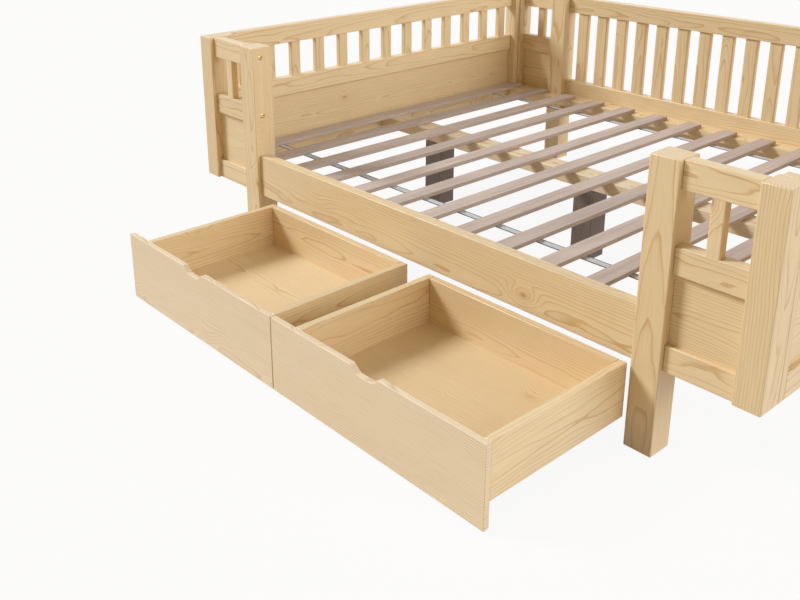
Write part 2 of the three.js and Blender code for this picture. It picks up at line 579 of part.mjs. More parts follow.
// One drawer, drawn about the middle of its front board with its front face at y = 0
function drawer(side) {
  const group = new THREE.Group();
  const frontWidth = (2 * clearHalf - 2 * DRAWER_SIDE_GAP - DRAWER_CENTRE_GAP) / 2;
  const frontTop = SIDE_RAIL_UNDERSIDE - DRAWER_TOP_GAP;
  const frontHeight = frontTop - DRAWER_FLOOR_GAP;
  const bevel = {
    depth: DRAWER_FRONT_THICKNESS - 2 * EDGE_BEVEL,
    bevelEnabled: true,
    bevelThickness: EDGE_BEVEL,
    bevelSize: EDGE_BEVEL,
    bevelOffset: -EDGE_BEVEL,
    bevelSegments: 1,
    curveSegments: 3,
  };
  const outline = new THREE.ExtrudeGeometry(drawerFrontShape(frontWidth, frontHeight), bevel);
  outline.rotateX(Math.PI / 2);
  outline.translate(0, DRAWER_FRONT_THICKNESS - EDGE_BEVEL, 0);

  const left = -frontWidth / 2 + DRAWER_LEFT_INSET;
  const right = frontWidth / 2 - DRAWER_RIGHT_INSET;
  const boxTop = DRAWER_BOX_UNDERSIDE + DRAWER_BOX_HEIGHT;
  const boxZ = (DRAWER_BOX_UNDERSIDE + boxTop) / 2;
  const floorUnder = DRAWER_BOX_UNDERSIDE + DRAWER_BOTTOM_RISE;
  const floorZ = floorUnder + DRAWER_BOTTOM_THICKNESS / 2;
  const boxFront = DRAWER_FRONT_THICKNESS + FIT_GAP;
  const sideLength = DRAWER_BOX_DEPTH - boxFront;
  const sideY = (boxFront + DRAWER_BOX_DEPTH) / 2;
  const groove = pocket(DRAWER_BOTTOM_THICKNESS);
  const tongue = DRAWER_GROOVE_DEPTH - FIT_GAP;

  const boxX = (left + right) / 2;
  const innerLeft = left + DRAWER_BOARD;
  const innerRight = right - DRAWER_BOARD;
  const innerWidth = innerRight - innerLeft;
  const backY = DRAWER_BOX_DEPTH - DRAWER_BOARD / 2;

  let front = solid(outline).translate([0, 0, DRAWER_FLOOR_GAP]);
  const frontSlot = blockAt(boxX, DRAWER_FRONT_THICKNESS, floorZ, innerWidth + 2 * tongue, 2 * DRAWER_GROOVE_DEPTH, groove);
  front = front.subtract(frontSlot);
  group.add(piece(`${side}_drawer_front`, front, PINE));

  const plank = board('y', sideLength, DRAWER_BOARD, DRAWER_BOX_HEIGHT, 2);
  const slot = blockAt(0, 0, floorZ - boxZ, 2 * DRAWER_GROOVE_DEPTH, sideLength + 2, groove);
  const leftSide = plank.subtract(slot.translate([DRAWER_BOARD / 2, 0, 0]));
  const rightSide = plank.subtract(slot.translate([-DRAWER_BOARD / 2, 0, 0]));
  group.add(piece(`${side}_drawer_left_side`, leftSide, SHADED_PINE, left + DRAWER_BOARD / 2, sideY, boxZ));
  group.add(piece(`${side}_drawer_right_side`, rightSide, SHADED_PINE, right - DRAWER_BOARD / 2, sideY, boxZ));

  const backWidth = innerWidth - 2 * FIT_GAP;
  let back = board('x', backWidth, DRAWER_BOARD, DRAWER_BOX_HEIGHT, 2);
  back = back.subtract(blockAt(0, -DRAWER_BOARD / 2, floorZ - boxZ, backWidth + 2, 2 * DRAWER_GROOVE_DEPTH, groove));
  group.add(piece(`${side}_drawer_back`, back, SHADED_PINE, boxX, backY, boxZ));

  const floorFront = DRAWER_FRONT_THICKNESS - tongue;
  const floorBack = DRAWER_BOX_DEPTH - DRAWER_BOARD + tongue;
  const floorWidth = innerWidth + 2 * tongue;
  const floorY = (floorFront + floorBack) / 2;
  const axleZ = WHEEL_DIAMETER / 2;
  const places = [];
  for (const [place, y] of [['front', CASTER_INSET_Y], ['back', DRAWER_BOX_DEPTH - CASTER_INSET_Y]]) {
    places.push([`${place}_left`, left + CASTER_INSET_X, y]);
    places.push([`${place}_right`, right - CASTER_INSET_X, y]);
  }
  let floor = blockAt(0, 0, 0, floorWidth, floorBack - floorFront, DRAWER_BOTTOM_THICKNESS);
  const carrier = bracket(floorUnder + REBATE - axleZ);
  for (const [, x, y] of places) {
    floor = floor.add(carrier.translate([x - boxX, y - floorY, axleZ - floorZ]));
  }
  group.add(piece(`${side}_drawer_bottom`, floor, SHADED_PINE, boxX, floorY, floorZ));
  const disc = wheel();
  for (const [place, x, y] of places) {
    group.add(piece(`${side}_drawer_wheel_${place}`, disc, NYLON, x, y, axleZ));
  }
  group.position.x = (side === 'left' ? -1 : 1) * (frontWidth + DRAWER_CENTRE_GAP) / 2;
  return group;
}

// The whole bed
const frame = new THREE.Group();
const rightEnd = endGroup('right', 'front_right', 'back_right', false);
const leftEnd = endGroup('left', 'back_left', 'front_left', true);
leftEnd.rotation.z = Math.PI;
frame.add(rightEnd, leftEnd, longSides(), slattedBase());
frame.position.y = drawerPull / 2;

const drawers = new THREE.Group();
drawers.add(drawer('left'), drawer('right'));
drawers.position.y = drawerPull / 2 - halfDepth - drawerPull;

const bed = new THREE.Group();
bed.add(frame, drawers);
bed.updateMatrixWorld(true);

export default bed;
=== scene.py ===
"""Looks of a low pine platform bed with two roll-out drawers, over its packed CAD model.

Metres, +Z up, in the frame of the packed model. Run as a script it dresses the whole bed;
each group of like pieces is made by one operator, and the sizes and colours that a user
would change are properties of the scene.
"""

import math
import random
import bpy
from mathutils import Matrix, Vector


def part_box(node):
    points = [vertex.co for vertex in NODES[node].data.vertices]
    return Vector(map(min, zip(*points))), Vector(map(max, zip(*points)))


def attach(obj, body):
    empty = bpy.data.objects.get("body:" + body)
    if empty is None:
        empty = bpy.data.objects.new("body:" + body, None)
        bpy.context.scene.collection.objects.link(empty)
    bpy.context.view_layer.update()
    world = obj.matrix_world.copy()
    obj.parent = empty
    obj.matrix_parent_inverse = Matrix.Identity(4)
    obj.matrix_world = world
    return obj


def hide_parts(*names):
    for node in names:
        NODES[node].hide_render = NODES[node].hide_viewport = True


bl_info = {
    "name": "Platform bed dresser",
    "version": (1, 0, 0),
    "blender": (4, 5, 0),
    "location": "3D View > Sidebar > Bed",
    "description": "Makes the boards, slats, fixings and casters of a pine platform bed",
    "category": "Object",
}

import bmesh
import bpy
from bpy.props import (
    FloatProperty,
    FloatVectorProperty,
    IntProperty,
    PointerProperty,
)
from mathutils import Matrix, Vector

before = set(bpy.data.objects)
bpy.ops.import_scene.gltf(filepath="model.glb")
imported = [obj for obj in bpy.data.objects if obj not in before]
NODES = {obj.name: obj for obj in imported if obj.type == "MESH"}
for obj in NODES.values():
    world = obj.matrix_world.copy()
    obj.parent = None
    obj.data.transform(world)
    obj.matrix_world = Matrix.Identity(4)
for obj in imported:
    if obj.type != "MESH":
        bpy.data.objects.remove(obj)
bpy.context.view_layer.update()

CORNERS = ("front_left", "front_right", "back_left", "back_right")
ENDS = ("left", "right")
SIDES = {"left": -1, "right": 1, "front": -1, "back": 1}

# Places of the bed, from the packed model
POST_LOW, POST_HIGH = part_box("corner_post_front_right")
BACK_LOW, BACK_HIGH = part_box("corner_post_back_right")
MIDDLE_Y = (POST_LOW.y + BACK_HIGH.y) / 2
HALF_DEPTH = (BACK_HIGH.y - POST_LOW.y) / 2
HALF_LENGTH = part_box("outer_post_front_right")[1].x
BED_HEIGHT = POST_HIGH.z
CLEAR_HALF = POST_LOW.x
RETURN_INNER = POST_HIGH.x
SIDE_LOW, SIDE_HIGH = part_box("front_side_rail")
RAIL_THICK = SIDE_HIGH.y - SIDE_LOW.y
RAIL_OUTER = MIDDLE_Y - SIDE_LOW.y
RAIL_INNER = RAIL_OUTER - RAIL_THICK
RAIL_MID = (RAIL_OUTER + RAIL_INNER) / 2
SLAT_LOW, SLAT_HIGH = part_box("slat_2")

# Sizes of the joinery that the fused solids don't give one by one
OUTER_POST = 0.066
POST_DEPTH = 0.075
STILE_DEPTH = 0.060
STILE_WIDTH = 0.025
RAIL_HEIGHT = 0.066
BOX_UNDERSIDE = 0.225
MID_UNDERSIDE = 0.464
PANEL_THICK = 0.010
PANEL_TUCK = 0.002
PANEL_EDGE = 0.0004
PANEL_PITH = 0.01
BEAM_HEIGHT = 0.044
LEG_PLACES = (-0.72, 0.0, 0.72)
LEG_HALF = 0.04
SUPPORT_EDGE = 0.002
END_SPINDLES = 13
GUARD_SPINDLES = 15
END_SECTION = (0.022, 0.041)
GUARD_SECTION = (0.049, 0.022)
RETURN_SECTION = (0.034, 0.024)
SPINDLE_EDGE = 0.004
SLAT_EDGE = 0.002
END_SLAT_EDGE = 0.0012
LEDGER_EDGE = 0.001
FRONT_EDGE = 0.0015
SPINDLE_TUCK = 0.001
DRAWER_FLOOR = 0.078
DRAWER_EDGE = 0.002
STILE_OUTER = HALF_DEPTH - POST_DEPTH
STILE_INNER = STILE_OUTER - STILE_WIDTH
RETURN_OUTER = HALF_LENGTH - OUTER_POST
TOP_UNDERSIDE = BED_HEIGHT - RAIL_HEIGHT
MID_TOP = MID_UNDERSIDE + RAIL_HEIGHT
LOW_TOP = BOX_UNDERSIDE + RAIL_HEIGHT
PANEL_LOW = LOW_TOP - PANEL_TUCK
PANEL_HIGH = MID_UNDERSIDE + PANEL_TUCK
SPINDLE_MIDDLE = (MID_TOP + TOP_UNDERSIDE) / 2
SPINDLE_LENGTH = TOP_UNDERSIDE - MID_TOP + SPINDLE_TUCK
END_RAIL_X = HALF_LENGTH - RAIL_THICK / 2
BOLT_HEIGHTS = (BED_HEIGHT - RAIL_HEIGHT / 2, MID_UNDERSIDE + RAIL_HEIGHT / 2)
# Joint lines between boards, and between two boards of one piece
HAIR = 0.0004
SEAM = 0.0002

# Where in the trunk the sticks of a row are cut: along, across and deep, in metres, least and
# most. The heart lies behind a stick's wide face, which is along Y for the turned cut.
FLAT_CUT = ((0, -0.02, 0.03), (40, 0.02, 0.06))
TURNED_CUT = ((0, 0.03, -0.02), (40, 0.06, 0.02))
VENEER_CUT = ((0, -5, 0), (40, 5, 0))

# The photograph's camera: picture size and principal point in pixels, place, and the
# angles of its view in radians
PICTURE = (800, 600)
PRINCIPAL = (382.388, 177.409)
CAMERA_PLACE = (1.80569, -2.31411, 1.34290)
CAMERA_ANGLES = (-0.84278, -0.33444, -0.00287)

FINISHES = {}


def colour(label, description, default):
    return FloatVectorProperty(
        name=label, description=description, subtype="COLOR", size=3, min=0, max=1, default=default
    )


def length(label, description, low, high, default):
    return FloatProperty(
        name=label, description=description, unit="LENGTH", min=low, max=high, default=default
    )


def amount(label, description, high, default):
    return FloatProperty(name=label, description=description, min=0, max=high, default=default)


class BED_PG_pine(bpy.types.PropertyGroup):
    """Colours and figure of the clear-finished pine"""

    pale: colour("Early wood", "Colour between the growth lines", (0.81, 0.625, 0.355))
    line: colour("Late wood", "Colour of the growth lines", (0.55, 0.295, 0.085))
    knot: colour("Knots", "Colour of the heart of a knot", (0.40, 0.19, 0.065))
    cream: colour("Cream early wood", "Paler drawer fronts and centre beam", (0.82, 0.665, 0.43))
    leg: colour("Leg wood", "Dark wood of the three centre legs", (0.17, 0.118, 0.088))
    ring: length("Ring width", "Mean distance between growth lines", 0.001, 0.03, 0.0065)
    taper: amount("Taper", "How much the rings widen along the board", 0.1, 0.014)
    wander: length("Wander", "How far the rings wander", 0, 0.1, 0.034)
    edge: length("Eased edge", "Radius of the boards' eased edges", 0.0005, 0.01, 0.0022)
    post_edge: length("Eased post edge", "Radius of the posts' eased edges", 0.0005, 0.01, 0.0028)


class BED_PG_slats(bpy.types.PropertyGroup):
    """The slatted base"""

    count: IntProperty(
        name="Slats",
        description="Number of slats over the length",
        min=2,
        max=40,
        default=len([n for n in NODES if n.startswith("slat_")]),
    )
    width: length("Width", "Width of a slat", 0.02, 0.2, SLAT_HIGH.x - SLAT_LOW.x)
    thickness: length("Thickness", "Thickness of a slat", 0.005, 0.04, SLAT_HIGH.z - SLAT_LOW.z)
    face: colour("Veneer", "Colour of the slats' faces", (0.61, 0.50, 0.425))
    ply: colour("Dark ply", "Colour of the darker plies at the slats' edges", (0.36, 0.27, 0.21))
    strap: colour("Strap", "Colour of the woven straps", (0.74, 0.72, 0.70))


class BED_PG_fixings(bpy.types.PropertyGroup):
    """Bolts, screws and staples"""

    bolt: length("Bolt head", "Diameter of a bolt's head", 0.006, 0.03, 0.016)
    screw: length("Screw head", "Diameter of a screw's head", 0.004, 0.015, 0.0075)
    brass: colour("Brass", "Colour of the bolts", (0.80, 0.60, 0.28))
    zinc: colour("Zinc", "Colour of the screws and caster brackets", (0.56, 0.57, 0.58))
    nylon: colour("Nylon", "Colour of the wheels", (0.022, 0.022, 0.024))


class BED_PG_stage(bpy.types.PropertyGroup):
    """Floor, light and camera"""

    floor: colour("Floor", "Colour of the floor", (0.72, 0.64, 0.52))
    key: amount("Key light", "Strength of the soft key light from the front left", 20, 2.80)
    fill: amount("Fill light", "Strength of the low fill light from the right", 20, 1.75)
    sky: amount("Sky light", "Strength of the even light from all round", 5, 0.26)
    lens: FloatProperty(
        name="Lens",
        description="Focal length on a 36 mm sensor",
        unit="CAMERA",
        min=10,
        max=200,
        default=43.05,
    )


GROUPS = {
    "bed_pine": BED_PG_pine,
    "bed_slats": BED_PG_slats,
    "bed_fixings": BED_PG_fixings,
    "bed_stage": BED_PG_stage,
}


# ---------------------------------------------------------------- node helpers


def ready(sockets):
    """The sockets that a node shows with its present settings."""
    return [s for s in sockets if s.enabled and not s.is_unavailable]


class Net:
    """Adds nodes to one tree and links them."""

    def __init__(self, tree):
        self.tree = tree
        self.count = 0

    def node(self, kind, *inputs, **settings):
        """A new node; the inputs go to its sockets in order."""
        made = self.tree.nodes.new(kind)
        made.location = (180 * (self.count % 12), -220 * (self.count // 12))
        self.count += 1
        for key, value in settings.items():
            setattr(made, key, value)
        for socket, value in zip(ready(made.inputs), inputs):
            self.put(socket, value)
        return made

    def wired(self, kind, inputs, **settings):
        """A new node; the inputs go to its sockets by name."""
        made = self.node(kind, **settings)
        for name, value in inputs.items():
            self.put(next(s for s in ready(made.inputs) if s.name == name), value)
        return made

    def put(self, socket, value):
        if isinstance(value, bpy.types.Node):
            value = self.out(value)
        if isinstance(value, bpy.types.NodeSocket):
            self.tree.links.new(value, socket)
        else:
            socket.default_value = value

    def out(self, node, name=None):
        shown = ready(node.outputs)
        return shown[0] if name is None else next(s for s in shown if s.name == name)

    def math(self, operation, *values):
        return self.out(self.node("ShaderNodeMath", *values, operation=operation))

    def vector(self, operation, *values):
        return self.out(self.node("ShaderNodeVectorMath", *values, operation=operation))

    def joined(self, *parts):
        return self.out(self.node("ShaderNodeCombineXYZ", *parts))

    def ramp(self, factor, *stops):
        """A straight ramp through (place, grey or colour) stops."""
        made = self.node("ShaderNodeValToRGB", factor)
        marks = made.color_ramp.elements
        while len(marks) < len(stops):
            marks.new(0.5)
        for mark, (place, value) in zip(marks, stops):
            mark.position = place
            mark.color = (*value, 1) if isinstance(value, tuple) else (value, value, value, 1)
        return self.out(made)

    def mix(self, factor, first, second, blend="MIX"):
        """A mix of two colours, each a socket or red, green and blue."""
        pair = [c if isinstance(c, bpy.types.NodeSocket) else (*c, 1) for c in (first, second)]
        settings = {"data_type": "RGBA", "blend_type": blend}
        return self.out(self.node("ShaderNodeMix", factor, *pair, **settings))

    def noise(self, place, scale, detail=2.0, roughness=0.5):
        """Smooth noise; a scale in three parts stretches it."""
        if isinstance(scale, tuple):
            place, scale = self.vector("MULTIPLY", place, scale), 1.0
        inputs = {"Vector": place, "Scale": scale, "Detail": detail, "Roughness": roughness}
        return self.out(self.wired("ShaderNodeTexNoise", inputs))

    def painted(self, name, output):
        """A mesh attribute, in a material."""
        return self.out(self.node("ShaderNodeAttribute", attribute_name=name), output)

    def named(self, name, kind):
        """A mesh attribute, in a geometry tree."""
        inputs = {"Name": name}
        return self.out(self.wired("GeometryNodeInputNamedAttribute", inputs, data_type=kind))

    def store(self, geometry, name, kind, value, domain="POINT"):
        """The geometry with a named attribute."""
        inputs = {"Geometry": geometry, "Name": name, "Value": value}
        settings = {"data_type": kind, "domain": domain}
        return self.out(self.wired("GeometryNodeStoreNamedAttribute", inputs, **settings))

    def chance(self, kind, low, high, **inputs):
        """A random value for each element."""
        made = self.node("FunctionNodeRandomValue", low, high, data_type=kind)
        for name, value in inputs.items():
            self.put(made.inputs[name], value)
        return self.out(made)


def empty_net(owner):
    """The net of a material's or world's cleared tree."""
    owner.use_nodes = True
    owner.node_tree.nodes.clear()
    return Net(owner.node_tree)


def tinted(net, base, tone, low, high, fibre, streaks):
    """A board's own cast of colour and its fine fibre streaks, over a base colour."""
    cast = net.mix(net.math("MULTIPLY_ADD", tone, 0.5, 0.5), low, high)
    base = net.mix(1.0, base, cast, "MULTIPLY")
    return net.mix(1.0, base, net.ramp(fibre, *streaks), "MULTIPLY")


def scaled(tint, share):
    return tuple(c * share for c in tint)


# ---------------------------------------------------------------- materials
# Each maker returns the shader's sockets by name, and its bump: height, distance and strength.


def pine(net, pale, line, contrast=1.0, gloss=0.48):
    """Pine cut from a tapered trunk: rings round a pith beside the board, with knots."""
    look = bpy.context.scene.bed_pine
    grain = net.painted("grain", "Vector")
    along, across, deep = net.node("ShaderNodeSeparateXYZ", grain).outputs

    # Knots: one in each stretched cell, with the rings leaning round it
    cell = (2.1, 7.0, 7.0)
    seeds = net.node("ShaderNodeTexVoronoi", feature="F1")
    net.put(seeds.inputs["Vector"], net.vector("MULTIPLY", grain, cell))
    seeds.inputs["Scale"].default_value = 1.0
    heart = net.vector("DIVIDE", seeds.outputs["Position"], cell)
    oval = net.vector("MULTIPLY", net.vector("SUBTRACT", grain, heart), (0.55, 1.0, 1.0))
    gap = net.out(net.node("ShaderNodeVectorMath", oval, operation="LENGTH"), "Value")
    lean_reach, lean_push = 0.026, 0.030
    fall = net.math("POWER", net.math("DIVIDE", gap, lean_reach), 2.0)
    lean = net.math("POWER", 2.718, net.math("MULTIPLY", fall, -1.0))

    # Rings: distance from the pith, pushed about by three sizes of noise
    square = net.math("MULTIPLY", across, across)
    radius = net.math("SQRT", net.math("ADD", square, net.math("MULTIPLY", deep, deep)))
    radius = net.math("MULTIPLY_ADD", along, look.taper, radius)
    for scale, settings, push in (
        ((1.6, 8.0, 8.0), {"detail": 1.2, "roughness": 0.35}, look.wander),
        ((4.5, 15.0, 15.0), {"detail": 1.0}, 0.012),
        ((9.0, 40.0, 40.0), {"detail": 2.0}, 0.0046),
    ):
        sway = net.math("SUBTRACT", net.noise(grain, scale, **settings), 0.5)
        radius = net.math("MULTIPLY_ADD", sway, push, radius)
    radius = net.math("MULTIPLY_ADD", lean, lean_push, radius)
    turn = net.math("FRACT", net.math("DIVIDE", radius, look.ring))
    swell = ((0.0, 0.0), (0.58, 0.05), (0.80, 0.22), (0.93, 1.0), (0.975, 0.8), (1.0, 0.0))
    late = net.ramp(turn, *swell)

    fibre = net.noise(grain, (9.0, 620.0, 620.0))
    patch = net.noise(grain, (2.2, 16.0, 16.0), detail=1.0)
    depth = net.math("MULTIPLY_ADD", patch, 0.9, 0.12)
    share = net.math("MULTIPLY", net.math("MULTIPLY", late, depth), contrast)
    wood = tinted(
        net, net.mix(share, pale, line), net.painted("tone", "Fac"),
        (0.96, 0.945, 0.92), (1.04, 1.045, 1.06),
        fibre, ((0.30, (0.93, 0.91, 0.88)), (0.62, (1.03, 1.03, 1.03))),
    )
    rim = net.ramp(gap, (0.0, 0.95), (0.0030, 0.85), (0.0048, 0.55), (0.0085, 0.0))
    wood = net.mix(rim, wood, look.knot)
    wood = net.mix(net.ramp(gap, (0.0, 0.30), (0.022, 0.0)), wood, line)
    sockets = {
        "Base Color": wood,
        "Roughness": net.math("MULTIPLY_ADD", fibre, 0.14, gloss - 0.05),
        "Specular IOR Level": 0.5,
        "Coat Weight": 0.45,
        "Coat Roughness": 0.28,
    }
    height = net.math("MULTIPLY_ADD", fibre, 0.6, net.math("MULTIPLY", late, -0.5))
    return sockets, (height, 0.0003, 0.35)


def veneer(net):
    """Laminated veneer: pale streaked faces, and plies that show at the edges."""
    look = bpy.context.scene.bed_slats
    grain = net.painted("grain", "Vector")
    deep = net.node("ShaderNodeSeparateXYZ", grain).outputs[2]
    long_streak = net.noise(grain, (2.0, 95.0, 0.0), detail=3.0, roughness=0.6)
    fibre = net.noise(grain, (14.0, 640.0, 320.0))
    cloud = net.noise(grain, (3.0, 9.0, 0.0))
    wood = net.mix(net.ramp(long_streak, (0.38, 0.0), (0.70, 0.55)), look.face, look.ply)
    pale = tuple(min(1.0, c) for c in scaled(look.face, 1.16))
    wood = net.mix(net.ramp(cloud, (0.45, 0.0), (0.75, 0.6)), wood, pale)
    ply_pair, skin = 0.0026, 0.0008
    plies = net.math("FRACT", net.math("MULTIPLY_ADD", deep, 1 / ply_pair, 0.25))
    band = net.ramp(plies, (0.0, 1.0), (0.42, 1.0), (0.50, 0.0), (0.94, 0.0), (1.0, 1.0))
    inner = net.math("LESS_THAN", net.math("ABSOLUTE", deep), look.thickness / 2 - skin)
    share = net.math("MULTIPLY", net.math("MULTIPLY", band, inner), 0.55)
    wood = tinted(
        net, net.mix(share, wood, look.ply), net.painted("tone", "Fac"),
        (0.86, 0.85, 0.84), (1.10, 1.09, 1.08),
        fibre, ((0.30, (0.90, 0.90, 0.90)), (0.65, (1.04, 1.04, 1.04))),
    )
    sockets = {
        "Base Color": wood,
        "Roughness": net.math("MULTIPLY_ADD", fibre, 0.16, 0.55),
        "Specular IOR Level": 0.3,
    }
    return sockets, (fibre, 0.00025, 0.4)


def webbing(net):
    """Flat woven strap: a fine weave, and dark bands along both edges that are painted shade for
    the strap's shaded edges.
    """
    look = bpy.context.scene.bed_slats
    grain = net.painted("grain", "Vector")
    along, across, _ = net.node("ShaderNodeSeparateXYZ", grain).outputs
    weft_pitch, warp_pitch = 0.0022, 0.0030
    weft = net.math("SINE", net.math("MULTIPLY", along, 2 * math.pi / weft_pitch))
    warp = net.math("SINE", net.math("MULTIPLY", across, 2 * math.pi / warp_pitch))
    weave = net.math("MULTIPLY_ADD", net.math("MULTIPLY", weft, warp), 0.5, 0.5)
    fuzz = net.noise(grain, (300.0, 300.0, 300.0))
    share = net.math("MULTIPLY_ADD", weave, 0.7, net.math("MULTIPLY", fuzz, 0.25))
    cloth = net.mix(share, scaled(look.strap, 0.72), look.strap)
    # Painted shade: the outer band along each edge is darkened to a fifth of the strap colour, for
    # the shade that falls on the strap's edges.
    low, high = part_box("front_strap")
    shade_band_from = 0.72 * (high.y - low.y) / 2
    edge = net.math("GREATER_THAN", net.math("ABSOLUTE", across), shade_band_from)
    sockets = {
        "Base Color": net.mix(edge, cloth, scaled(look.strap, 0.20)),
        "Roughness": net.math("MULTIPLY_ADD", fuzz, 0.1, 0.8),
    }
    return sockets, (weave, 0.0005, 0.6)


def metal(net, tint, rough):
    """Plated metal with faint scuffs, clouding and a fine cast surface."""
    place = net.out(net.node("ShaderNodeTexCoord"), "Object")
    cloud = net.noise(place, 140.0, detail=3.0, roughness=0.6)
    scuff = net.noise(place, (90.0, 900.0, 90.0))
    tired = net.ramp(cloud, (0.35, 0.0), (0.70, 0.75))
    sockets = {
        "Base Color": net.mix(tired, tint, scaled(tint, 0.72)),
        "Metallic": 1.0,
        "Roughness": net.math("MULTIPLY_ADD", scuff, 0.22, rough - 0.08),
    }
    return sockets, (cloud, 0.0001, 0.25)


def moulded(net, tint):
    """Moulded nylon with a fine spark texture and some dust."""
    place = net.out(net.node("ShaderNodeTexCoord"), "Object")
    spark = net.noise(place, 1600.0)
    dust = net.noise(place, 60.0, detail=3.0)
    dusty = tuple(min(1.0, c * 2.2 + 0.02) for c in tint)
    sockets = {
        "Base Color": net.mix(net.ramp(dust, (0.45, 0.0), (0.80, 0.6)), tint, dusty),
        "Roughness": net.math("MULTIPLY_ADD", dust, 0.25, 0.38),
    }
    return sockets, (spark, 0.00012, 0.35)


def ready_material(name):
    """A finish of the bed by name, made at its first use."""
    if name not in FINISHES:
        scene = bpy.context.scene
        wood, fixings = scene.bed_pine, scene.bed_fixings
        makers = {
            "pine": lambda net: pine(net, wood.pale, wood.line),
            "pine_cream": lambda net: pine(net, wood.cream, wood.line, 1.1),
            "pine_raw": lambda net: pine(net, wood.pale, scaled(wood.line, 0.9), 1.0, 0.55),
            "leg_wood": lambda net: pine(net, wood.leg, scaled(wood.leg, 0.62), 0.9, 0.55),
            "veneer": veneer,
            "webbing": webbing,
            "brass": lambda net: metal(net, fixings.brass, 0.30),
            "zinc": lambda net: metal(net, fixings.zinc, 0.36),
            "nylon": lambda net: moulded(net, fixings.nylon),
        }
        material = bpy.data.materials.new(f"bed_{name}")
        net = empty_net(material)
        shader = net.node("ShaderNodeBsdfPrincipled")
        net.node("ShaderNodeOutputMaterial", shader)
        sockets, (height, distance, strength) = makers[name](net)
        bump = {"Strength": strength, "Distance": distance, "Height": height}
        sockets["Normal"] = net.wired("ShaderNodeBump", bump)
        for socket, value in sockets.items():
            net.put(shader.inputs[socket], value)
        FINISHES[name] = material
    return FINISHES[name]


# ---------------------------------------------------------------- boards


def placed(name, mesh):
    """A new object in the scene, at the origin."""
    made = bpy.data.objects.new(name, mesh)
    bpy.context.scene.collection.objects.link(made)
    return made


def to_mesh(bm, name, finish=None):
    mesh = bpy.data.meshes.new(name)
    bm.to_mesh(mesh)
    bm.free()
    if finish:
        mesh.materials.append(ready_material(finish))
    return mesh


def merged(bm, part):
    """Moves one shape into another."""
    mesh = to_mesh(part, "part")
    bm.from_mesh(mesh)
    bpy.data.meshes.remove(mesh)


def write(mesh, name, kind, values):
    """A named attribute on the mesh's points."""
    field = "value" if kind == "FLOAT" else "vector"
    flat = values if kind == "FLOAT" else [x for v in values for x in v]
    mesh.attributes.new(name, kind, "POINT").data.foreach_set(field, flat)


def block(low, high):
    """A plain box between two corners."""
    bm = bmesh.new()
    bmesh.ops.create_cube(bm, size=1.0)
    for v in bm.verts:
        v.co = Vector(low[i] + (v.co[i] + 0.5) * (high[i] - low[i]) for i in range(3))
    return bm


def other_axes(axis):
    return [i for i in range(3) if i != axis]


class Timber:
    """Collects boards, each with its own cut from the trunk, into one mesh."""

    def __init__(self, seed):
        self.chance = random.Random(seed)
        self.verts, self.faces, self.smooth = [], [], []
        self.grain, self.tone = [], []

    def take(self, bm, along, pith=None, plain=False):
        """Adds a finished shape; along is the axis of its grain.

        pith is how far the trunk's heart lies aside of the board, at random when it isn't
        given, and a plain board is cut so far from the heart that its lines run straight.
        """
        chance = self.chance
        low = [min(v.co[i] for v in bm.verts) for i in range(3)]
        high = [max(v.co[i] for v in bm.verts) for i in range(3)]
        centre = [(a + b) / 2 for a, b in zip(low, high)]
        size = [b - a for a, b in zip(low, high)]
        axis = "xyz".index(along)
        wide, thin = other_axes(axis)
        if size[wide] < size[thin]:
            wide, thin = thin, wide
        start = chance.uniform(0, 40)
        aside = chance.uniform(-0.3, 0.3) * size[wide] if pith is None else pith
        below = size[thin] / 2 + chance.uniform(0.012, 0.05)
        below *= chance.choice((-1, 1))
        if plain:
            aside, below = chance.uniform(0.09, 0.16), chance.uniform(0.02, 0.05)
        tone = chance.uniform(-1, 1)
        flip = chance.choice((-1, 1))
        first = len(self.verts)
        for v in bm.verts:
            self.verts.append(v.co.copy())
            run, across, deep = (v.co[i] - centre[i] for i in (axis, wide, thin))
            self.grain.append((start + flip * run, aside + across, below + deep))
            self.tone.append(tone)
        bm.verts.index_update()
        for f in bm.faces:
            self.faces.append([first + v.index for v in f.verts])
            self.smooth.append(f.smooth)
        bm.free()

    def board(self, low, high, along, edge, pith=None, steps=3):
        """One straight board between two corners, with eased edges."""
        bm = block(low, high)
        thinnest = min(b - a for a, b in zip(low, high))
        ease(bm, min(edge, thinnest * 0.3), steps)
        self.take(bm, along, pith)

    def prism(self, outline, flat, start, end, along, edge, plain=False):
        """A board of any outline: points in the plane across flat, pushed from start to end."""
        axis = "xyz".index(flat)
        first, second = other_axes(axis)
        bm = bmesh.new()
        corners = []
        for a, b in outline:
            co = Vector((0, 0, 0))
            co[axis], co[first], co[second] = start, a, b
            corners.append(bm.verts.new(co))
        grown_face = bmesh.ops.extrude_face_region(bm, geom=[bm.faces.new(corners)])
        for v in (g for g in grown_face["geom"] if isinstance(g, bmesh.types.BMVert)):
            v.co[axis] = end
        bmesh.ops.recalc_face_normals(bm, faces=bm.faces)
        ease(bm, edge, 2)
        self.take(bm, along, None, plain)

    def make(self, name, finish="pine"):
        """The collected boards as one object with its slot, at the origin."""
        mesh = bpy.data.meshes.new(name)
        mesh.from_pydata([tuple(v) for v in self.verts], [], self.faces)
        mesh.polygons.foreach_set("use_smooth", self.smooth)
        write(mesh, "grain", "FLOAT_VECTOR", self.grain)
        write(mesh, "tone", "FLOAT", self.tone)
        mesh.materials.append(ready_material(finish))
        mesh.update()
        made = placed(name, mesh)
        return made


def ease(bm, radius, steps):
    """Eases the sharp edges of a shape; the eased faces are smooth, the flats stay flat."""
    for f in bm.faces:
        f.smooth = False
    sharp = [e for e in bm.edges if e.is_manifold and e.calc_face_angle(0) > math.radians(28)]
    made = bmesh.ops.bevel(
        bm,
        geom=sharp,
        offset=radius,
        segments=steps,
        profile=0.5,
        affect="EDGES",
        clamp_overlap=True,
    )
    for f in made["faces"]:
        f.smooth = True


def held(piece, body="frame", *nodes):
    """The piece rides on a body and stands for the nodes."""
    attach(piece, body)
    if nodes:
        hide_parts(*nodes)
    return piece


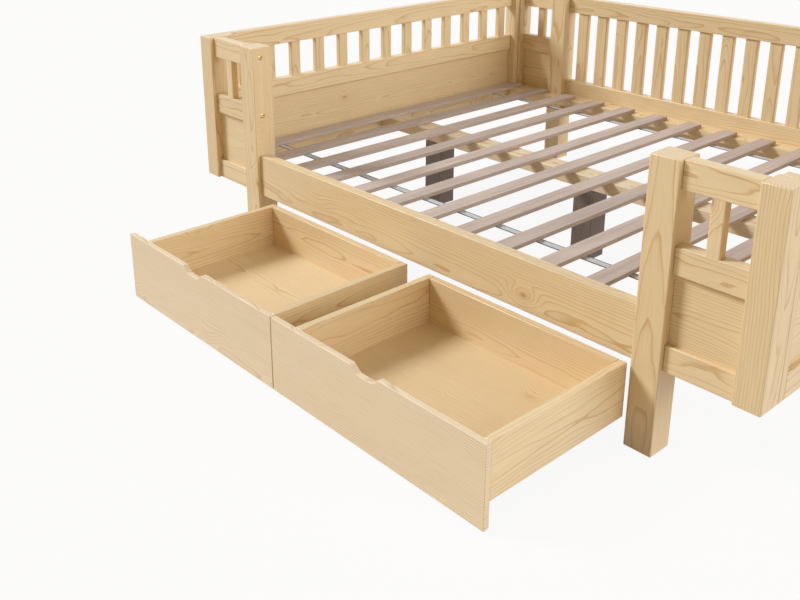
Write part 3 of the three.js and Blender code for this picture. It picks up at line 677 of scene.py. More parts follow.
def signs(corner):
    """Which way out a corner lies, as signs of X and Y."""
    near, side = corner.split("_")
    return SIDES[side], SIDES[near]


def middle(node):
    low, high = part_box(node)
    return (low + high) / 2


def corner_box(corner, x0, x1, d0, d1, z0, z1):
    """A box given by distances out from the bed's middle, at one corner."""
    sx, sy = signs(corner)
    xa, xb = sorted((sx * x0, sx * x1))
    ya, yb = sorted((MIDDLE_Y + sy * d0, MIDDLE_Y + sy * d1))
    return (xa, ya, z0), (xb, yb, z1)


def bolt_point(corner, z, inward=0.0):
    """The middle of a bolt's head on a corner post, and its aim."""
    sx, sy = signs(corner)
    return (sx * (CLEAR_HALF + inward), MIDDLE_Y + sy * RAIL_MID, z), (-sx, 0, 0)


def cut(piece, cutters):
    """Takes the cutters' shapes out of the piece and removes them."""
    for cutter in cutters:
        tool = piece.modifiers.new("hole", "BOOLEAN")
        tool.operation = "DIFFERENCE"
        tool.solver = "EXACT"
        tool.object = cutter
    plain_mesh(piece)
    for cutter in cutters:
        bpy.data.objects.remove(cutter)
    return piece


def plain_mesh(piece):
    """Bakes a piece's modifiers into its mesh and removes them."""
    bpy.context.view_layer.update()
    graph = bpy.context.evaluated_depsgraph_get()
    made = bpy.data.meshes.new_from_object(
        piece.evaluated_get(graph), preserve_all_data_layers=True, depsgraph=graph
    )
    made.name = piece.name
    piece.modifiers.clear()
    piece.data = made


def drum(place, diameter, depth):
    """A plain round cutter along X about a point."""
    bm = bmesh.new()
    radius = diameter / 2
    bmesh.ops.create_cone(
        bm, cap_ends=True, segments=32, radius1=radius, radius2=radius, depth=depth
    )
    turn = Vector((0, 0, 1)).rotation_difference(Vector((1, 0, 0))).to_matrix().to_4x4()
    bm.transform(Matrix.Translation(Vector(place)) @ turn)
    return placed("cutter", to_mesh(bm, "cutter"))


# ---------------------------------------------------------------- node trees that repeat a piece


def geometry_tree(name, inputs):
    """An empty geometry tree with its inputs, given as (label, kind) pairs."""
    tree = bpy.data.node_groups.new(name, "GeometryNodeTree")
    for label, kind in inputs:
        tree.interface.new_socket(label, in_out="INPUT", socket_type=f"NodeSocket{kind}")
    tree.interface.new_socket("Geometry", in_out="OUTPUT", socket_type="NodeSocketGeometry")
    net = Net(tree)
    return tree, net, net.node("NodeGroupInput").outputs


def ended(net, geometry, finish):
    """Ends a geometry tree with its material."""
    inputs = {"Geometry": geometry, "Material": finish}
    net.node("NodeGroupOutput", net.wired("GeometryNodeSetMaterial", inputs))


def stick_row_tree():
    """Geometry Nodes: a row of like sticks, each with its own cut of wood."""
    name = "stick_row"
    if name in bpy.data.node_groups:
        return bpy.data.node_groups[name]
    inputs = [("Count", "Int"), ("Start", "Vector"), ("Step", "Vector")]
    inputs += [(label, "Float") for label in ("Width", "Thickness", "Length", "Edge")]
    inputs += [(label, "Vector") for label in ("Turn", "Cut low", "Cut high")]
    inputs += [("Seed", "Int"), ("Finish", "Material")]
    tree, net, given = geometry_tree(name, inputs)

    # One stick along Z, with its grain along its length
    sides = {"Width": given["Width"], "Height": given["Thickness"]}
    section = net.wired("GeometryNodeCurvePrimitiveQuadrilateral", sides)
    easing = {"Curve": section, "Radius": given["Edge"], "Count": 3, "Limit Radius": True}
    eased = net.wired("GeometryNodeFilletCurve", easing, mode="POLY")
    half = net.math("MULTIPLY", given["Length"], 0.5)
    low = net.joined(0.0, 0.0, net.math("MULTIPLY", half, -1.0))
    ends = {"Start": low, "End": net.joined(0.0, 0.0, half)}
    line = net.wired("GeometryNodeCurvePrimitiveLine", ends)
    sweep = {"Curve": line, "Profile Curve": eased, "Fill Caps": True}
    stick = net.wired("GeometryNodeCurveToMesh", sweep)
    place = net.node("GeometryNodeInputPosition")
    x, y, z = net.node("ShaderNodeSeparateXYZ", place).outputs
    marked = net.store(stick, "grain", "FLOAT_VECTOR", net.joined(z, x, y))

    # The row, each stick numbered
    steps = {"Count": given["Count"], "Start Location": given["Start"], "Offset": given["Step"]}
    points = net.wired("GeometryNodeMeshLine", steps, mode="OFFSET")
    row = {"Points": points, "Instance": marked, "Rotation": given["Turn"]}
    copies = net.wired("GeometryNodeInstanceOnPoints", row)
    number = net.node("GeometryNodeInputIndex")
    numbered = net.store(copies, "board", "INT", number, domain="INSTANCE")
    real = net.node("GeometryNodeRealizeInstances", numbered)

    # Each stick's own place in the trunk, and its own tone
    own = {"ID": net.named("board", "INT"), "Seed": given["Seed"]}
    shift = net.chance("FLOAT_VECTOR", given["Cut low"], given["Cut high"], **own)
    grain = net.vector("ADD", net.named("grain", "FLOAT_VECTOR"), shift)
    moved = net.store(real, "grain", "FLOAT_VECTOR", grain)
    toned = net.store(moved, "tone", "FLOAT", net.chance("FLOAT", -1.0, 1.0, **own))
    flats = {"Geometry": toned, "Shade Smooth": False}
    ended(net, net.wired("GeometryNodeSetShadeSmooth", flats), given["Finish"])
    return tree


def grown(name, tree, values, base):
    """A plain mesh object from a node tree with the named inputs set."""
    made = placed(name, base)
    tool = made.modifiers.new("build", "NODES")
    tool.node_group = tree
    for item in tree.interface.items_tree:
        if item.item_type == "SOCKET" and item.in_out == "INPUT" and item.name in values:
            tool[item.identifier] = values[item.name]
    plain_mesh(made)
    if not made.data.polygons:
        raise RuntimeError(f"{name}: the node tree made no faces")
    return made


def stick_row(name, seed, count, start, step, section, long, edge=SPINDLE_EDGE,
              turn=(0, 0, 0), finish="pine", cuts=FLAT_CUT):
    """A row of like sticks as one mesh.

    A stick's section and length lie along X, Y and Z before its turn.
    """
    values = {
        "Count": count,
        "Start": Vector(start),
        "Step": Vector(step),
        "Width": section[0],
        "Thickness": section[1],
        "Length": long,
        "Edge": edge,
        "Turn": Vector(turn),
        "Cut low": Vector(cuts[0]),
        "Cut high": Vector(cuts[1]),
        "Seed": seed,
        "Finish": ready_material(finish),
    }
    made = grown(name, stick_row_tree(), values, bpy.data.meshes.new(name))
    return made


def scatter_tree():
    """Geometry Nodes: a small fixing on each point of a mesh, turned to the point's aim."""
    name = "fixing_scatter"
    if name in bpy.data.node_groups:
        return bpy.data.node_groups[name]
    inputs = [("Geometry", "Geometry"), ("Fixing", "Object"), ("Spin", "Float")]
    inputs += [("Seed", "Int"), ("Finish", "Material")]
    tree, net, given = geometry_tree(name, inputs)
    source = net.wired("GeometryNodeObjectInfo", {"Object": given["Fixing"]})
    aim = {"Vector": net.named("aim", "FLOAT_VECTOR")}
    scatter = {
        "Points": given["Geometry"],
        "Instance": source.outputs["Geometry"],
        "Rotation": net.wired("FunctionNodeAlignRotationToVector", aim, axis="Z"),
    }
    copies = net.wired("GeometryNodeInstanceOnPoints", scatter)
    spin = net.joined(0.0, 0.0, net.chance("FLOAT", 0.0, given["Spin"], Seed=given["Seed"]))
    turns = {"Instances": copies, "Rotation": spin, "Local Space": True}
    turned = net.wired("GeometryNodeRotateInstances", turns)
    ended(net, net.node("GeometryNodeRealizeInstances", turned), given["Finish"])
    return tree


def scattered(name, shape, places, spin, finish, seed):
    """Copies of a small fixing at (point, aim) places, as one mesh."""
    base = bpy.data.meshes.new(name)
    base.from_pydata([tuple(p) for p, _ in places], [], [])
    write(base, "aim", "FLOAT_VECTOR", [aim for _, aim in places])
    holder = placed("fixing", shape)
    values = {"Fixing": holder, "Spin": spin, "Seed": seed, "Finish": ready_material(finish)}
    made = grown(name, scatter_tree(), values, base)
    bpy.data.objects.remove(holder)
    return made


# ---------------------------------------------------------------- round and small shapes


def around(radius, count):
    """Points round a circle in its own plane, from the first axis on."""
    turns = [2 * math.pi * i / count for i in range(count)]
    return [(radius * math.cos(a), radius * math.sin(a)) for a in turns]


def bridged(bm, first, second):
    """The faces between two closed runs of points."""
    pairs = list(zip(first, second))
    quads = zip(pairs, pairs[1:] + pairs[:1])
    return [bm.faces.new((a, c, d, b)) for (a, b), (c, d) in quads]


def finished(bm):
    """Turns the faces outward and makes them smooth."""
    bmesh.ops.recalc_face_normals(bm, faces=bm.faces)
    for f in bm.faces:
        f.smooth = True


def capped(bm, pole, ring):
    """The faces from one point, in a list of its own, to a closed run of points."""
    for a, b in zip(ring, ring[1:] + ring[:1]):
        bm.faces.new((pole[0], a, b))


def lathe(profile, sides):
    """A round shape about Z from (radius, height) points; a point on the axis closes it."""
    bm = bmesh.new()
    rings = []
    for radius, height in profile:
        points = around(radius, sides) if radius else [(0, 0)]
        rings.append([bm.verts.new((x, y, height)) for x, y in points])
    for low, high in zip(rings, rings[1:]):
        if len(low) == len(high):
            bridged(bm, low, high)
        else:
            capped(bm, *sorted((low, high), key=len))
    finished(bm)
    return bm


def bolt_head(diameter):
    """Socket bolt head with a flange, a low crown and a six-sided socket; its top is at z = 0."""
    r = diameter / 2
    profile = [(0, -0.0040), (r * 0.96, -0.0040), (r, -0.0036), (r, -0.0018)]
    profile += [(r * 0.93, -0.0008), (r * 0.78, -0.0001), (r * 0.56, 0.0)]
    sides, lip, floor_z = 24, -0.0001, -0.0026
    bm = lathe(profile, sides)
    top = [v for v in bm.verts if abs(v.co.z) < 1e-7]
    top.sort(key=lambda v: math.atan2(v.co.y, v.co.x) % (2 * math.pi))
    across_corners = r * 0.42
    sector = math.pi / 3
    ring, floor = [], []
    for i in range(sides):
        a = 2 * math.pi * i / sides
        reach = across_corners * math.cos(sector / 2) / math.cos(a % sector - sector / 2)
        x, y = reach * math.cos(a), reach * math.sin(a)
        ring.append(bm.verts.new((x, y, lip)))
        floor.append(bm.verts.new((x, y, floor_z)))
    for face in bridged(bm, top, ring) + bridged(bm, ring, floor) + [bm.faces.new(floor)]:
        face.smooth = False
    bmesh.ops.recalc_face_normals(bm, faces=bm.faces)
    return to_mesh(bm, "bolt_head")


def screw_head(diameter):
    """Countersunk screw head with a cross recess; its face is at z = 0."""
    r = diameter / 2
    arm, wide = r * 0.62, r * 0.16
    recess, land, tip = r * 0.42, 0.0004, 0.0022
    cross = []
    for k in range(4):
        c, s = math.cos(k * math.pi / 2), math.sin(k * math.pi / 2)
        for u, v in ((arm, -wide), (arm, wide), (wide, wide)):
            cross.append((u * c - v * s, u * s + v * c))
    bm = bmesh.new()
    inner = [bm.verts.new((x, y, 0)) for x, y in cross]
    floor = [bm.verts.new((x * 0.5, y * 0.5, -recess)) for x, y in cross]
    angles = [math.atan2(y, x) for x, y in cross]
    outer, rim = (
        [bm.verts.new((r * math.cos(a), r * math.sin(a), z)) for a in angles] for z in (0, -land)
    )
    for low, high in ((rim, outer), (outer, inner), (inner, floor)):
        bridged(bm, low, high)
    capped(bm, [bm.verts.new((0, 0, -tip))], rim)
    bm.faces.new(floor)
    bmesh.ops.recalc_face_normals(bm, faces=bm.faces)
    return to_mesh(bm, "screw_head")


def staple():
    """Crown of a staple: a bar along X with rounded shoulders, standing proud of z = 0."""
    crown, wire, proud, sunk = 0.010, 0.0011, 0.0009, 0.0006
    bm = block((-crown / 2, -wire / 2, -sunk), (crown / 2, wire / 2, proud))
    bmesh.ops.bevel(bm, geom=bm.edges[:], offset=0.00028, segments=1, affect="EDGES")
    return to_mesh(bm, "staple")


# ---------------------------------------------------------------- operators


class BedPiece:
    """What every operator of the bed shares."""

    bl_options = {"REGISTER", "UNDO"}

    def execute(self, context):
        self.build(context.scene)
        return {"FINISHED"}


class BED_OT_posts(BedPiece, bpy.types.Operator):
    """Make the four corner posts with their bolt holes, and the four outer posts and stiles"""

    bl_idname = "bed.posts"
    bl_label = "Posts"

    def build(self, scene):
        look = scene.bed_pine
        hole, hole_depth = scene.bed_fixings.bolt + 0.0006, 0.0043
        for i, corner in enumerate(CORNERS):
            node = f"corner_post_{corner}"
            wood = Timber(101 + i)
            wood.board(*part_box(node), "z", look.post_edge)
            post = wood.make(f"{node}_board")
            places = [bolt_point(corner, z)[0] for z in BOLT_HEIGHTS]
            held(cut(post, [drum(p, hole, 2 * hole_depth) for p in places]), "frame", node)
            outer = Timber(131 + i)
            for x, near, far, edge in (
                (RETURN_OUTER, STILE_OUTER + SEAM, HALF_DEPTH, look.post_edge),
                (HALF_LENGTH - STILE_DEPTH, STILE_INNER + SEAM, STILE_OUTER - HAIR, look.edge),
            ):
                ends = corner_box(corner, x, HALF_LENGTH, near, far, BOX_UNDERSIDE, BED_HEIGHT)
                outer.board(*ends, "z", edge)
            held(outer.make(f"outer_post_{corner}_boards"), "frame", f"outer_post_{corner}")


class BED_OT_returns(BedPiece, bpy.types.Operator):
    """Make the short rails, spindles and panels that join the corner posts to the outer posts"""

    bl_idname = "bed.returns"
    bl_label = "Returns"

    def build(self, scene):
        run = (RETURN_INNER + HAIR, RETURN_OUTER - HAIR)
        half = PANEL_THICK / 2
        spindle_depth = RAIL_OUTER - RETURN_SECTION[1] / 2
        for i, corner in enumerate(CORNERS):
            wood = Timber(171 + i)
            for z in (BOX_UNDERSIDE, MID_UNDERSIDE, TOP_UNDERSIDE):
                ends = corner_box(corner, *run, RAIL_INNER, RAIL_OUTER, z, z + RAIL_HEIGHT)
                wood.board(*ends, "x", scene.bed_pine.edge)
            held(wood.make(f"return_rails_{corner}"), "frame")
            sx, sy = signs(corner)
            place = (sx * sum(run) / 2, MIDDLE_Y + sy * spindle_depth, SPINDLE_MIDDLE)
            name = f"return_spindle_{corner}"
            still = (0, 0, 0)
            held(stick_row(name, 210 + i, 1, place, still, RETURN_SECTION, SPINDLE_LENGTH), "frame")
            node = f"return_panel_{corner}"
            panel = Timber(191 + i)
            depths = (RAIL_MID - half, RAIL_MID + half)
            ends = corner_box(corner, *run, *depths, PANEL_LOW, PANEL_HIGH)
            panel.board(*ends, "x", PANEL_EDGE, pith=PANEL_PITH, steps=1)
            held(panel.make(f"{node}_board"), "frame", node)


class BED_OT_ends(BedPiece, bpy.types.Operator):
    """Make the rails and the panel of each end"""

    bl_idname = "bed.ends"
    bl_label = "End rails and panels"

    def build(self, scene):
        ya, yb = MIDDLE_Y - STILE_INNER + HAIR, MIDDLE_Y + STILE_INNER - HAIR
        half = PANEL_THICK / 2
        rails = {"top": TOP_UNDERSIDE, "mid": MID_UNDERSIDE, "bottom": BOX_UNDERSIDE}
        for i, end in enumerate(ENDS):
            sx = SIDES[end]
            xa, xb = sorted((sx * (HALF_LENGTH - RAIL_THICK), sx * HALF_LENGTH))
            for j, (part, z) in enumerate(rails.items()):
                wood = Timber(231 + 10 * i + j)
                wood.board((xa, ya, z), (xb, yb, z + RAIL_HEIGHT), "y", scene.bed_pine.edge)
                held(wood.make(f"{end}_{part}_rail_board"), "frame", f"{end}_end_{part}_rail")
            x = sx * END_RAIL_X
            panel = Timber(238 + 10 * i)
            low, high = (x - half, ya, PANEL_LOW), (x + half, yb, PANEL_HIGH)
            panel.board(low, high, "y", PANEL_EDGE, pith=PANEL_PITH, steps=1)
            held(panel.make(f"{end}_panel_board"), "frame", f"{end}_end_panel")


class BED_OT_spindles(BedPiece, bpy.types.Operator):
    """Make the rows of spindles of the two ends and of the back guard, with Geometry Nodes"""

    bl_idname = "bed.spindles"
    bl_label = "Spindles"

    def build(self, scene):
        pitch = 2 * STILE_INNER / END_SPINDLES
        for i, end in enumerate(ENDS):
            start = (SIDES[end] * END_RAIL_X, MIDDLE_Y - STILE_INNER + pitch / 2, SPINDLE_MIDDLE)
            row = stick_row(
                f"{end}_end_spindles", 31 + i, END_SPINDLES, start, (0, pitch, 0),
                END_SECTION, SPINDLE_LENGTH, cuts=TURNED_CUT,
            )
            held(row, "frame")
        wide = GUARD_SECTION[0]
        gap = (2 * CLEAR_HALF - GUARD_SPINDLES * wide) / (GUARD_SPINDLES + 1)
        low, high = SIDE_HIGH.z, TOP_UNDERSIDE
        start = (-CLEAR_HALF + gap + wide / 2, MIDDLE_Y + RAIL_MID, (low + high) / 2)
        row = stick_row(
            "guard_spindles", 37, GUARD_SPINDLES, start, (wide + gap, 0, 0),
            GUARD_SECTION, high - low + SPINDLE_TUCK,
        )
        held(row, "frame")


class BED_OT_side_rails(BedPiece, bpy.types.Operator):
    """Make the long front and back rails and the top rail of the guard"""

    bl_idname = "bed.side_rails"
    bl_label = "Side rails"

    def build(self, scene):
        half = CLEAR_HALF - HAIR
        for i, (side, node, bottom, top) in enumerate((
            ("front", "front_side_rail", SIDE_LOW.z, SIDE_HIGH.z),
            ("back", "back_side_rail", SIDE_LOW.z, SIDE_HIGH.z),
            ("back", "guard_top_rail", TOP_UNDERSIDE, BED_HEIGHT),
        )):
            ya, yb = sorted(MIDDLE_Y + SIDES[side] * d for d in (RAIL_INNER, RAIL_OUTER))
            wood = Timber(261 + i)
            wood.board((-half, ya, bottom), (half, yb, top), "x", scene.bed_pine.edge)
            held(wood.make(f"{node}_board"), "frame", node)


class BED_OT_supports(BedPiece, bpy.types.Operator):
    """Make the notched ledgers, the centre beam and its three legs"""

    bl_idname = "bed.supports"
    bl_label = "Ledgers, beam and legs"

    def build(self, scene):
        for i, side in enumerate(("front", "back")):
            node = f"{side}_ledger"
            low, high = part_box(node)
            sy = SIDES[side]
            outer = MIDDLE_Y + sy * (RAIL_INNER - HAIR)
            inner = low.y if side == "back" else high.y
            shoulder = MIDDLE_Y + sy * (STILE_OUTER - HAIR)
            a, b = CLEAR_HALF - HAIR, RETURN_INNER + HAIR
            run = [(high.x, inner), (high.x, outer), (b, outer)]
            run += [(b, shoulder), (a, shoulder), (a, outer)]
            outline = [(-x, y) for x, y in run] + run[::-1]
            wood = Timber(281 + i)
            wood.prism(outline, "z", low.z, high.z, "x", LEDGER_EDGE)
            held(wood.make(f"{node}_board", "pine_raw"), "frame", node)
        low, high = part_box("centre_beam")
        under = high.z - BEAM_HEIGHT
        beam = Timber(291)
        beam.board((low.x, low.y, under), high, "x", SUPPORT_EDGE)
        held(beam.make("centre_beam_board", "pine_cream"), "frame", "centre_beam")
        legs = Timber(295)
        for x in LEG_PLACES:
            foot = (x - LEG_HALF, MIDDLE_Y - LEG_HALF, 0)
            head = (x + LEG_HALF, MIDDLE_Y + LEG_HALF, under - SEAM)
            legs.board(foot, head, "z", SUPPORT_EDGE)
        held(legs.make("centre_legs", "leg_wood"), "frame")


class BED_OT_slats(BedPiece, bpy.types.Operator):
    """Make the slats, the end ones notched round the stiles, with Geometry Nodes for the rest"""

    bl_idname = "bed.slats"
    bl_label = "Slats"

    def build(self, scene):
        look = scene.bed_slats
        count = look.count
        first, last = middle("slat_2"), middle(f"slat_{count - 1}")
        row = stick_row(
            "slats", 5, count - 2, (first.x, MIDDLE_Y, first.z),
            ((last.x - first.x) / (count - 3), 0, 0),
            (look.width, look.thickness), SLAT_HIGH.y - SLAT_LOW.y, edge=SLAT_EDGE,
            turn=(math.radians(90), 0, 0), finish="veneer", cuts=VENEER_CUT,
        )
        held(row, "frame", *[f"slat_{i + 2}" for i in range(count - 2)])
        for i, (node, s) in enumerate((("slat_1", -1), (f"slat_{count}", 1))):
            a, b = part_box(node)
            inside, outside = sorted((a.x, b.x), key=abs)
            notch = s * (HALF_LENGTH - STILE_DEPTH - HAIR)
            near, far = MIDDLE_Y - STILE_INNER + HAIR, MIDDLE_Y + STILE_INNER - HAIR
            outline = [(inside, a.y), (notch, a.y), (notch, near), (outside, near)]
            outline += [(outside, far), (notch, far), (notch, b.y), (inside, b.y)]
            wood = Timber(301 + i)
            wood.prism(outline, "z", a.z, b.z, "y", END_SLAT_EDGE)
            centre = (a.z + b.z) / 2
            wood.grain = [(g[0], g[1], v.z - centre) for g, v in zip(wood.grain, wood.verts)]
            held(wood.make(f"{node}_board", "veneer"), "frame", node)


class BED_OT_straps(BedPiece, bpy.types.Operator):
    """Make the two woven straps that space the slats, sagging a little between them"""

    bl_idname = "bed.straps"
    bl_label = "Straps"

    def build(self, scene):
        look = scene.bed_slats
        centres = sorted(middle(f"slat_{i + 1}").x for i in range(look.count))
        half_gap = (centres[1] - centres[0] - look.width) / 2
        steps, sag, under_slat, thick = 220, 0.0004, 0.0009, 0.0008
        upper = [(-1, 0.0), (-0.97, 1.0), (-0.86, 0.8), (0.86, 0.8), (0.97, 1.0)]
        section = upper + [(-u, -w) for u, w in upper]
        for side in ("front", "back"):
            node = f"{side}_strap"
            low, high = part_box(node)
            wide = (high.y - low.y) / 2
            bm = bmesh.new()
            grain, rings = [], []
            for k in range(steps + 1):
                x = low.x + k * (high.x - low.x) / steps
                free = max(0.0, min(abs(x - c) for c in centres) - look.width / 2) / half_gap
                z = high.z - under_slat - sag * math.sin(min(1.0, free) * math.pi / 2)
                y = (low.y + high.y) / 2
                rings.append([bm.verts.new((x, y + u * wide, z + w * thick)) for u, w in section])
                grain += [(x, u * wide, w * thick) for u, w in section]
            for a, b in zip(rings, rings[1:]):
                bridged(bm, a, b)
            bm.faces.new(rings[0])
            bm.faces.new(rings[-1][::-1])
            finished(bm)
            mesh = to_mesh(bm, f"{node}_webbing", "webbing")
            write(mesh, "grain", "FLOAT_VECTOR", grain)
            strap = placed(f"{node}_webbing", mesh)
            held(strap, "frame", node)


def notch_outline(low, high, centre):
    """Outline of a drawer front in its own plane, with a soft-shouldered hand notch."""
    half_width, deep, shoulder, steps = 0.103 / 2, 0.018, 2 * 0.014, 6
    fall = [k / steps for k in range(steps + 1)]
    curve = [(half_width - shoulder * t, high.z - deep * t * t * (3 - 2 * t)) for t in fall]
    points = [(low.x, low.z), (high.x, low.z), (high.x, high.z)]
    points += [(centre + x, z) for x, z in curve]
    points += [(centre - x, z) for x, z in curve[::-1]]
    return points + [(low.x, high.z)]


class BED_OT_drawers(BedPiece, bpy.types.Operator):
    """Make the boards of the two drawers"""

    bl_idname = "bed.drawers"
    bl_label = "Drawers"

    def build(self, scene):
        notch_aside, groove = 0.007, 0.002
        for i, side in enumerate(ENDS):
            body = f"{side}_drawer"
            low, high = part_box(f"{body}_front")
            outline = notch_outline(low, high, (low.x + high.x) / 2 - notch_aside)
            front = Timber(341 + i)
            front.prism(outline, "y", low.y, high.y, "x", FRONT_EDGE, plain=True)
            held(front.make(f"{body}_front_board", "pine_cream"), body, f"{body}_front")
            for j, part in enumerate(("left_side", "right_side", "back")):
                node = f"{body}_{part}"
                wood = Timber(351 + 10 * i + j)
                wood.board(*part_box(node), "x" if part == "back" else "y", DRAWER_EDGE, steps=2)
                held(wood.make(f"{node}_board", "pine"), body, node)
            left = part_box(f"{body}_left_side")[1].x - groove
            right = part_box(f"{body}_right_side")[0].x + groove
            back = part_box(f"{body}_back")[0].y + groove
            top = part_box(f"{body}_bottom")[1].z
            floor = Timber(371 + i)
            near = (left, high.y - groove / 2, DRAWER_FLOOR)
            floor.board(near, (right, back, top), "x", PANEL_EDGE, steps=1)
            held(floor.make(f"{body}_bottom_board", "pine"), body, f"{body}_bottom")


class BED_OT_casters(BedPiece, bpy.types.Operator):
    """Make the caster brackets and their wheels"""

    bl_idname = "bed.casters"
    bl_label = "Casters"

    def build(self, scene):
        for side in ENDS:
            body = f"{side}_drawer"
            bm = bmesh.new()
            for place in CORNERS:
                wheel = f"{body}_wheel_{place}"
                low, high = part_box(wheel)
                centre = (low + high) / 2
                self.bracket(bm, centre)
                self.wheel(wheel, centre, (high.z - low.z) / 2, (high.x - low.x) / 2)
            name = f"{body}_caster_brackets"
            held(placed(name, to_mesh(bm, name, "zinc")), body)

    @staticmethod
    def bracket(bm, centre):
        """A pressed plate, two tapered cheeks and a riveted axle, about the wheel's middle."""
        top = DRAWER_FLOOR - centre.z
        thick, play = 0.0024, 0.0001
        part = block((-0.022, -0.032, top - thick - play), (0.022, 0.032, top - play))
        upright = [e for e in part.edges if abs(e.verts[0].co.z - e.verts[1].co.z) > 1e-5]
        bmesh.ops.bevel(part, geom=upright, offset=0.006, segments=4, affect="EDGES")
        eye, neck, shoulder, steps = 0.0065, 0.0062, 0.015, 8
        turns = [math.pi * (1 + k / steps) for k in range(steps + 1)]
        outline = [(-shoulder, top - thick), (-neck, 0.001)]
        outline += [(eye * math.cos(a), eye * math.sin(a)) for a in turns]
        outline += [(neck, 0.001), (shoulder, top - thick)]
        for s in (-1, 1):
            near, far = (
                [part.verts.new((s * x, y, z)) for y, z in outline] for x in (0.0098, 0.0121)
            )
            faces = [part.faces.new(near), part.faces.new(far[::-1])]
            bmesh.ops.recalc_face_normals(part, faces=faces + bridged(part, near, far))
        half_pin = [(0.003, 0.0121), (0.0048, 0.0121), (0.0048, 0.0130)]
        half_pin += [(0.0042, 0.0138), (0, 0.0138)]
        pin = lathe([(r, -z) for r, z in half_pin[::-1]] + half_pin, 20)
        pin.transform(Matrix.Rotation(math.pi / 2, 4, "Y"))
        merged(part, pin)
        part.transform(Matrix.Translation(centre))
        merged(bm, part)

    @staticmethod
    def wheel(node, centre, radius, h):
        """A wheel with rounded shoulders, a dished web and a raised hub, about X."""
        rim, web, hub, bore, round_hub = radius - 0.0045, h - 0.0035, 0.0075, 0.0033, 0.0007
        profile = [
            (bore, -h), (hub, -h), (hub + round_hub, -h + round_hub), (hub + round_hub, -web),
            (rim, -web), (rim, -h + 0.0004), (rim + 0.0006, -h),
            (radius - 0.0022, -h), (radius - 0.0006, -h + 0.0008), (radius, -h + 0.0026),
        ]
        profile += [(r, -z) for r, z in profile[::-1]]
        sides = 56
        bm = bmesh.new()
        rings = [[bm.verts.new((z, b, -a)) for a, b in around(r, sides)] for r, z in profile]
        for a, b in zip(rings, rings[1:] + rings[:1]):
            bridged(bm, a, b)
        finished(bm)
        for e in bm.edges:
            e.smooth = e.calc_face_angle(0) < math.radians(40)
        bm.transform(Matrix.Translation(centre))
        name = f"{node}_tyre"
        made = placed(name, to_mesh(bm, name, "nylon"))
        held(made, node, node)


class BED_OT_fixings(BedPiece, bpy.types.Operator):
    """Make the bolts, screws and staples, with Geometry Nodes"""

    bl_idname = "bed.fixings"
    bl_label = "Bolts, screws and staples"

    def build(self, scene):
        look = scene.bed_fixings
        proud, touch = 0.0003, 0.0001
        any_turn, screw_turn, staple_turn = 6.0, 1.5, 0.3
        up, down = (0, 0, 1), (0, 0, -1)
        places = [bolt_point(corner, z, proud) for corner in CORNERS for z in BOLT_HEIGHTS]
        bolts = scattered("frame_bolts", bolt_head(look.bolt), places, any_turn, "brass", 3)
        held(bolts, "frame")

        places = []
        ledger_screws, ledger_pitch = 7, 0.22
        beam_along, beam_across = 0.02, 0.018
        for side in ("front", "back"):
            sy = SIDES[side]
            low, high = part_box(f"{side}_ledger")
            inner = high.y if side == "front" else low.y
            for k in range(ledger_screws):
                x = (k - (ledger_screws - 1) / 2) * ledger_pitch
                places.append(((x, inner - sy * proud, (low.z + high.z) / 2), (0, -sy, 0)))
        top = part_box("centre_beam")[1].z + touch
        for x in LEG_PLACES:
            for s in (-1, 1):
                places.append(((x + s * beam_along, MIDDLE_Y + s * beam_across, top), up))
        screws = scattered("frame_screws", screw_head(look.screw), places, screw_turn, "zinc", 7)
        held(screws, "frame")

        places = []
        staple_aside = 0.018
        for side in ("front", "back"):
            strap = middle(f"{side}_strap").y
            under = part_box(f"{side}_strap")[0].z - touch
            for i in range(scene.bed_slats.count):
                x = middle(f"slat_{i + 1}").x
                places += [((x + s * staple_aside, strap, under), down) for s in (-1, 1)]
        held(scattered("strap_staples", staple(), places, staple_turn, "zinc", 11), "frame")

        plate_underside = DRAWER_FLOOR - 0.0027
        plate_along, plate_across = 0.0165, 0.024
        for side in ENDS:
            body = f"{side}_drawer"
            places = []
            for place in CORNERS:
                c = middle(f"{body}_wheel_{place}")
                for dx in (-plate_along, plate_along):
                    for dy in (-plate_across, plate_across):
                        places.append(((c.x + dx, c.y + dy, plate_underside), down))
            head = screw_head(look.screw)
            held(scattered(f"{body}_screws", head, places, screw_turn, "zinc", 13), body)


def seen_share(net):
    """1 for a ray that sees the background straight, in metal or through glass."""
    paths = net.node("ShaderNodeLightPath").outputs
    beyond = net.math("MAXIMUM", paths["Is Glossy Ray"], paths["Is Transmission Ray"])
    return net.math("MAXIMUM", paths["Is Camera Ray"], beyond)


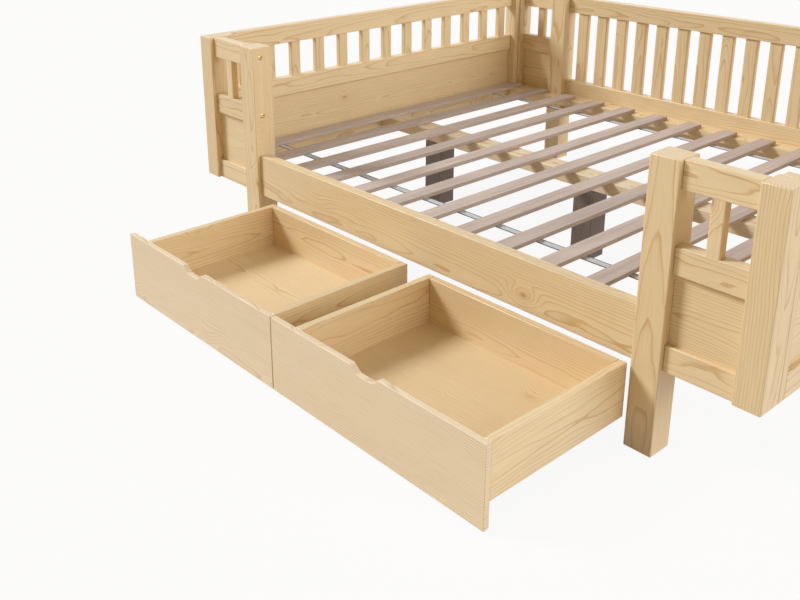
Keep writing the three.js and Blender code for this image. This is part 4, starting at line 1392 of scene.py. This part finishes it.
class BED_OT_stage(BedPiece, bpy.types.Operator):
    """Make the floor, the soft studio light and the camera"""

    bl_idname = "bed.stage"
    bl_label = "Stage"

    def build(self, scene):
        look = scene.bed_stage
        reach, sunk, white, glow_share = 30, 0.0005, (1, 1, 1, 1), 0.92
        corners = [(-reach, -reach, 0), (reach, -reach, 0), (reach, reach, 0), (-reach, reach, 0)]
        mesh = bpy.data.meshes.new("floor")
        mesh.from_pydata(corners, [], [(0, 1, 2, 3)])
        floor = placed("floor", mesh)
        floor.location.z = -sunk
        material = bpy.data.materials.new("pale_floor")
        net = empty_net(material)
        matt = net.node("ShaderNodeBsdfDiffuse", (*look.floor, 1))
        glow = net.node("ShaderNodeEmission", white)
        share = net.math("MULTIPLY", seen_share(net), glow_share)
        both = net.node("ShaderNodeMixShader", share, matt, glow)
        net.node("ShaderNodeOutputMaterial", both)
        mesh.materials.append(material)

        world = bpy.data.worlds.new("studio")
        scene.world = world
        net = empty_net(world)
        soft = net.node("ShaderNodeBackground", (1.0, 0.84, 0.62, 1), look.sky)
        plain = net.node("ShaderNodeBackground", white)
        both = net.node("ShaderNodeMixShader", seen_share(net), soft, plain)
        net.node("ShaderNodeOutputWorld", both)

        self.lamp("key", look.key, 18, (0.70, 0.52, -0.66))
        self.lamp("fill", look.fill, 40, (-0.90, -0.25, -0.38))
        scene.camera = self.camera(look.lens)
        scene.view_settings.view_transform = "Standard"

    @staticmethod
    def lamp(name, energy, spread, travel):
        """A distant soft light that travels along a direction; its spread is in degrees."""
        sun = bpy.data.lights.new(name, "SUN")
        sun.energy = energy
        sun.angle = math.radians(spread)
        sun.color = (0.94, 1.0, 1.12)
        placed(name, sun).rotation_euler = Vector(travel).to_track_quat("-Z", "Y").to_euler()

    @staticmethod
    def camera(lens):
        """The photograph's camera, from its place and the angles of its view."""
        data = bpy.data.cameras.new("camera")
        data.sensor_width = 36
        data.lens = lens
        width, height = PICTURE
        data.shift_x = (width / 2 - PRINCIPAL[0]) / width
        data.shift_y = (PRINCIPAL[1] - height / 2) / width
        data.clip_start = 0.05
        data.clip_end = 100
        az, el, roll = CAMERA_ANGLES
        ahead = Vector((math.sin(az) * math.cos(el), math.cos(az) * math.cos(el), math.sin(el)))
        right = Vector((math.cos(az), -math.sin(az), 0))
        up = right.cross(ahead)
        r = right * math.cos(roll) + up * math.sin(roll)
        u = up * math.cos(roll) - right * math.sin(roll)
        turn = Matrix((r, u, -ahead)).transposed()
        camera = placed("camera", data)
        camera.matrix_world = Matrix.Translation(CAMERA_PLACE) @ turn.to_4x4()
        return camera


class BED_PT_panel(bpy.types.Panel):
    """The bed's pieces and settings in the sidebar"""

    bl_idname = "BED_PT_panel"
    bl_label = "Platform bed"
    bl_space_type = "VIEW_3D"
    bl_region_type = "UI"
    bl_category = "Bed"

    def draw(self, context):
        layout = self.layout
        for operator in OPERATORS:
            layout.operator(operator.bl_idname)
        for name, group in GROUPS.items():
            box = layout.box()
            box.label(text=group.__doc__)
            for prop in group.__annotations__:
                box.prop(getattr(context.scene, name), prop)


OPERATORS = (
    BED_OT_posts,
    BED_OT_returns,
    BED_OT_ends,
    BED_OT_spindles,
    BED_OT_side_rails,
    BED_OT_supports,
    BED_OT_slats,
    BED_OT_straps,
    BED_OT_drawers,
    BED_OT_casters,
    BED_OT_fixings,
    BED_OT_stage,
)
CLASSES = (*GROUPS.values(), *OPERATORS, BED_PT_panel)


def register():
    for cls in CLASSES:
        bpy.utils.register_class(cls)
    for name, group in GROUPS.items():
        setattr(bpy.types.Scene, name, PointerProperty(type=group))


def unregister():
    for name in GROUPS:
        delattr(bpy.types.Scene, name)
    for cls in reversed(CLASSES):
        bpy.utils.unregister_class(cls)


def main():
    register()
    for operator in OPERATORS:
        group, name = operator.bl_idname.split(".")
        getattr(getattr(bpy.ops, group), name)()
    bpy.context.view_layer.update()


if __name__ == "__main__":
    main()
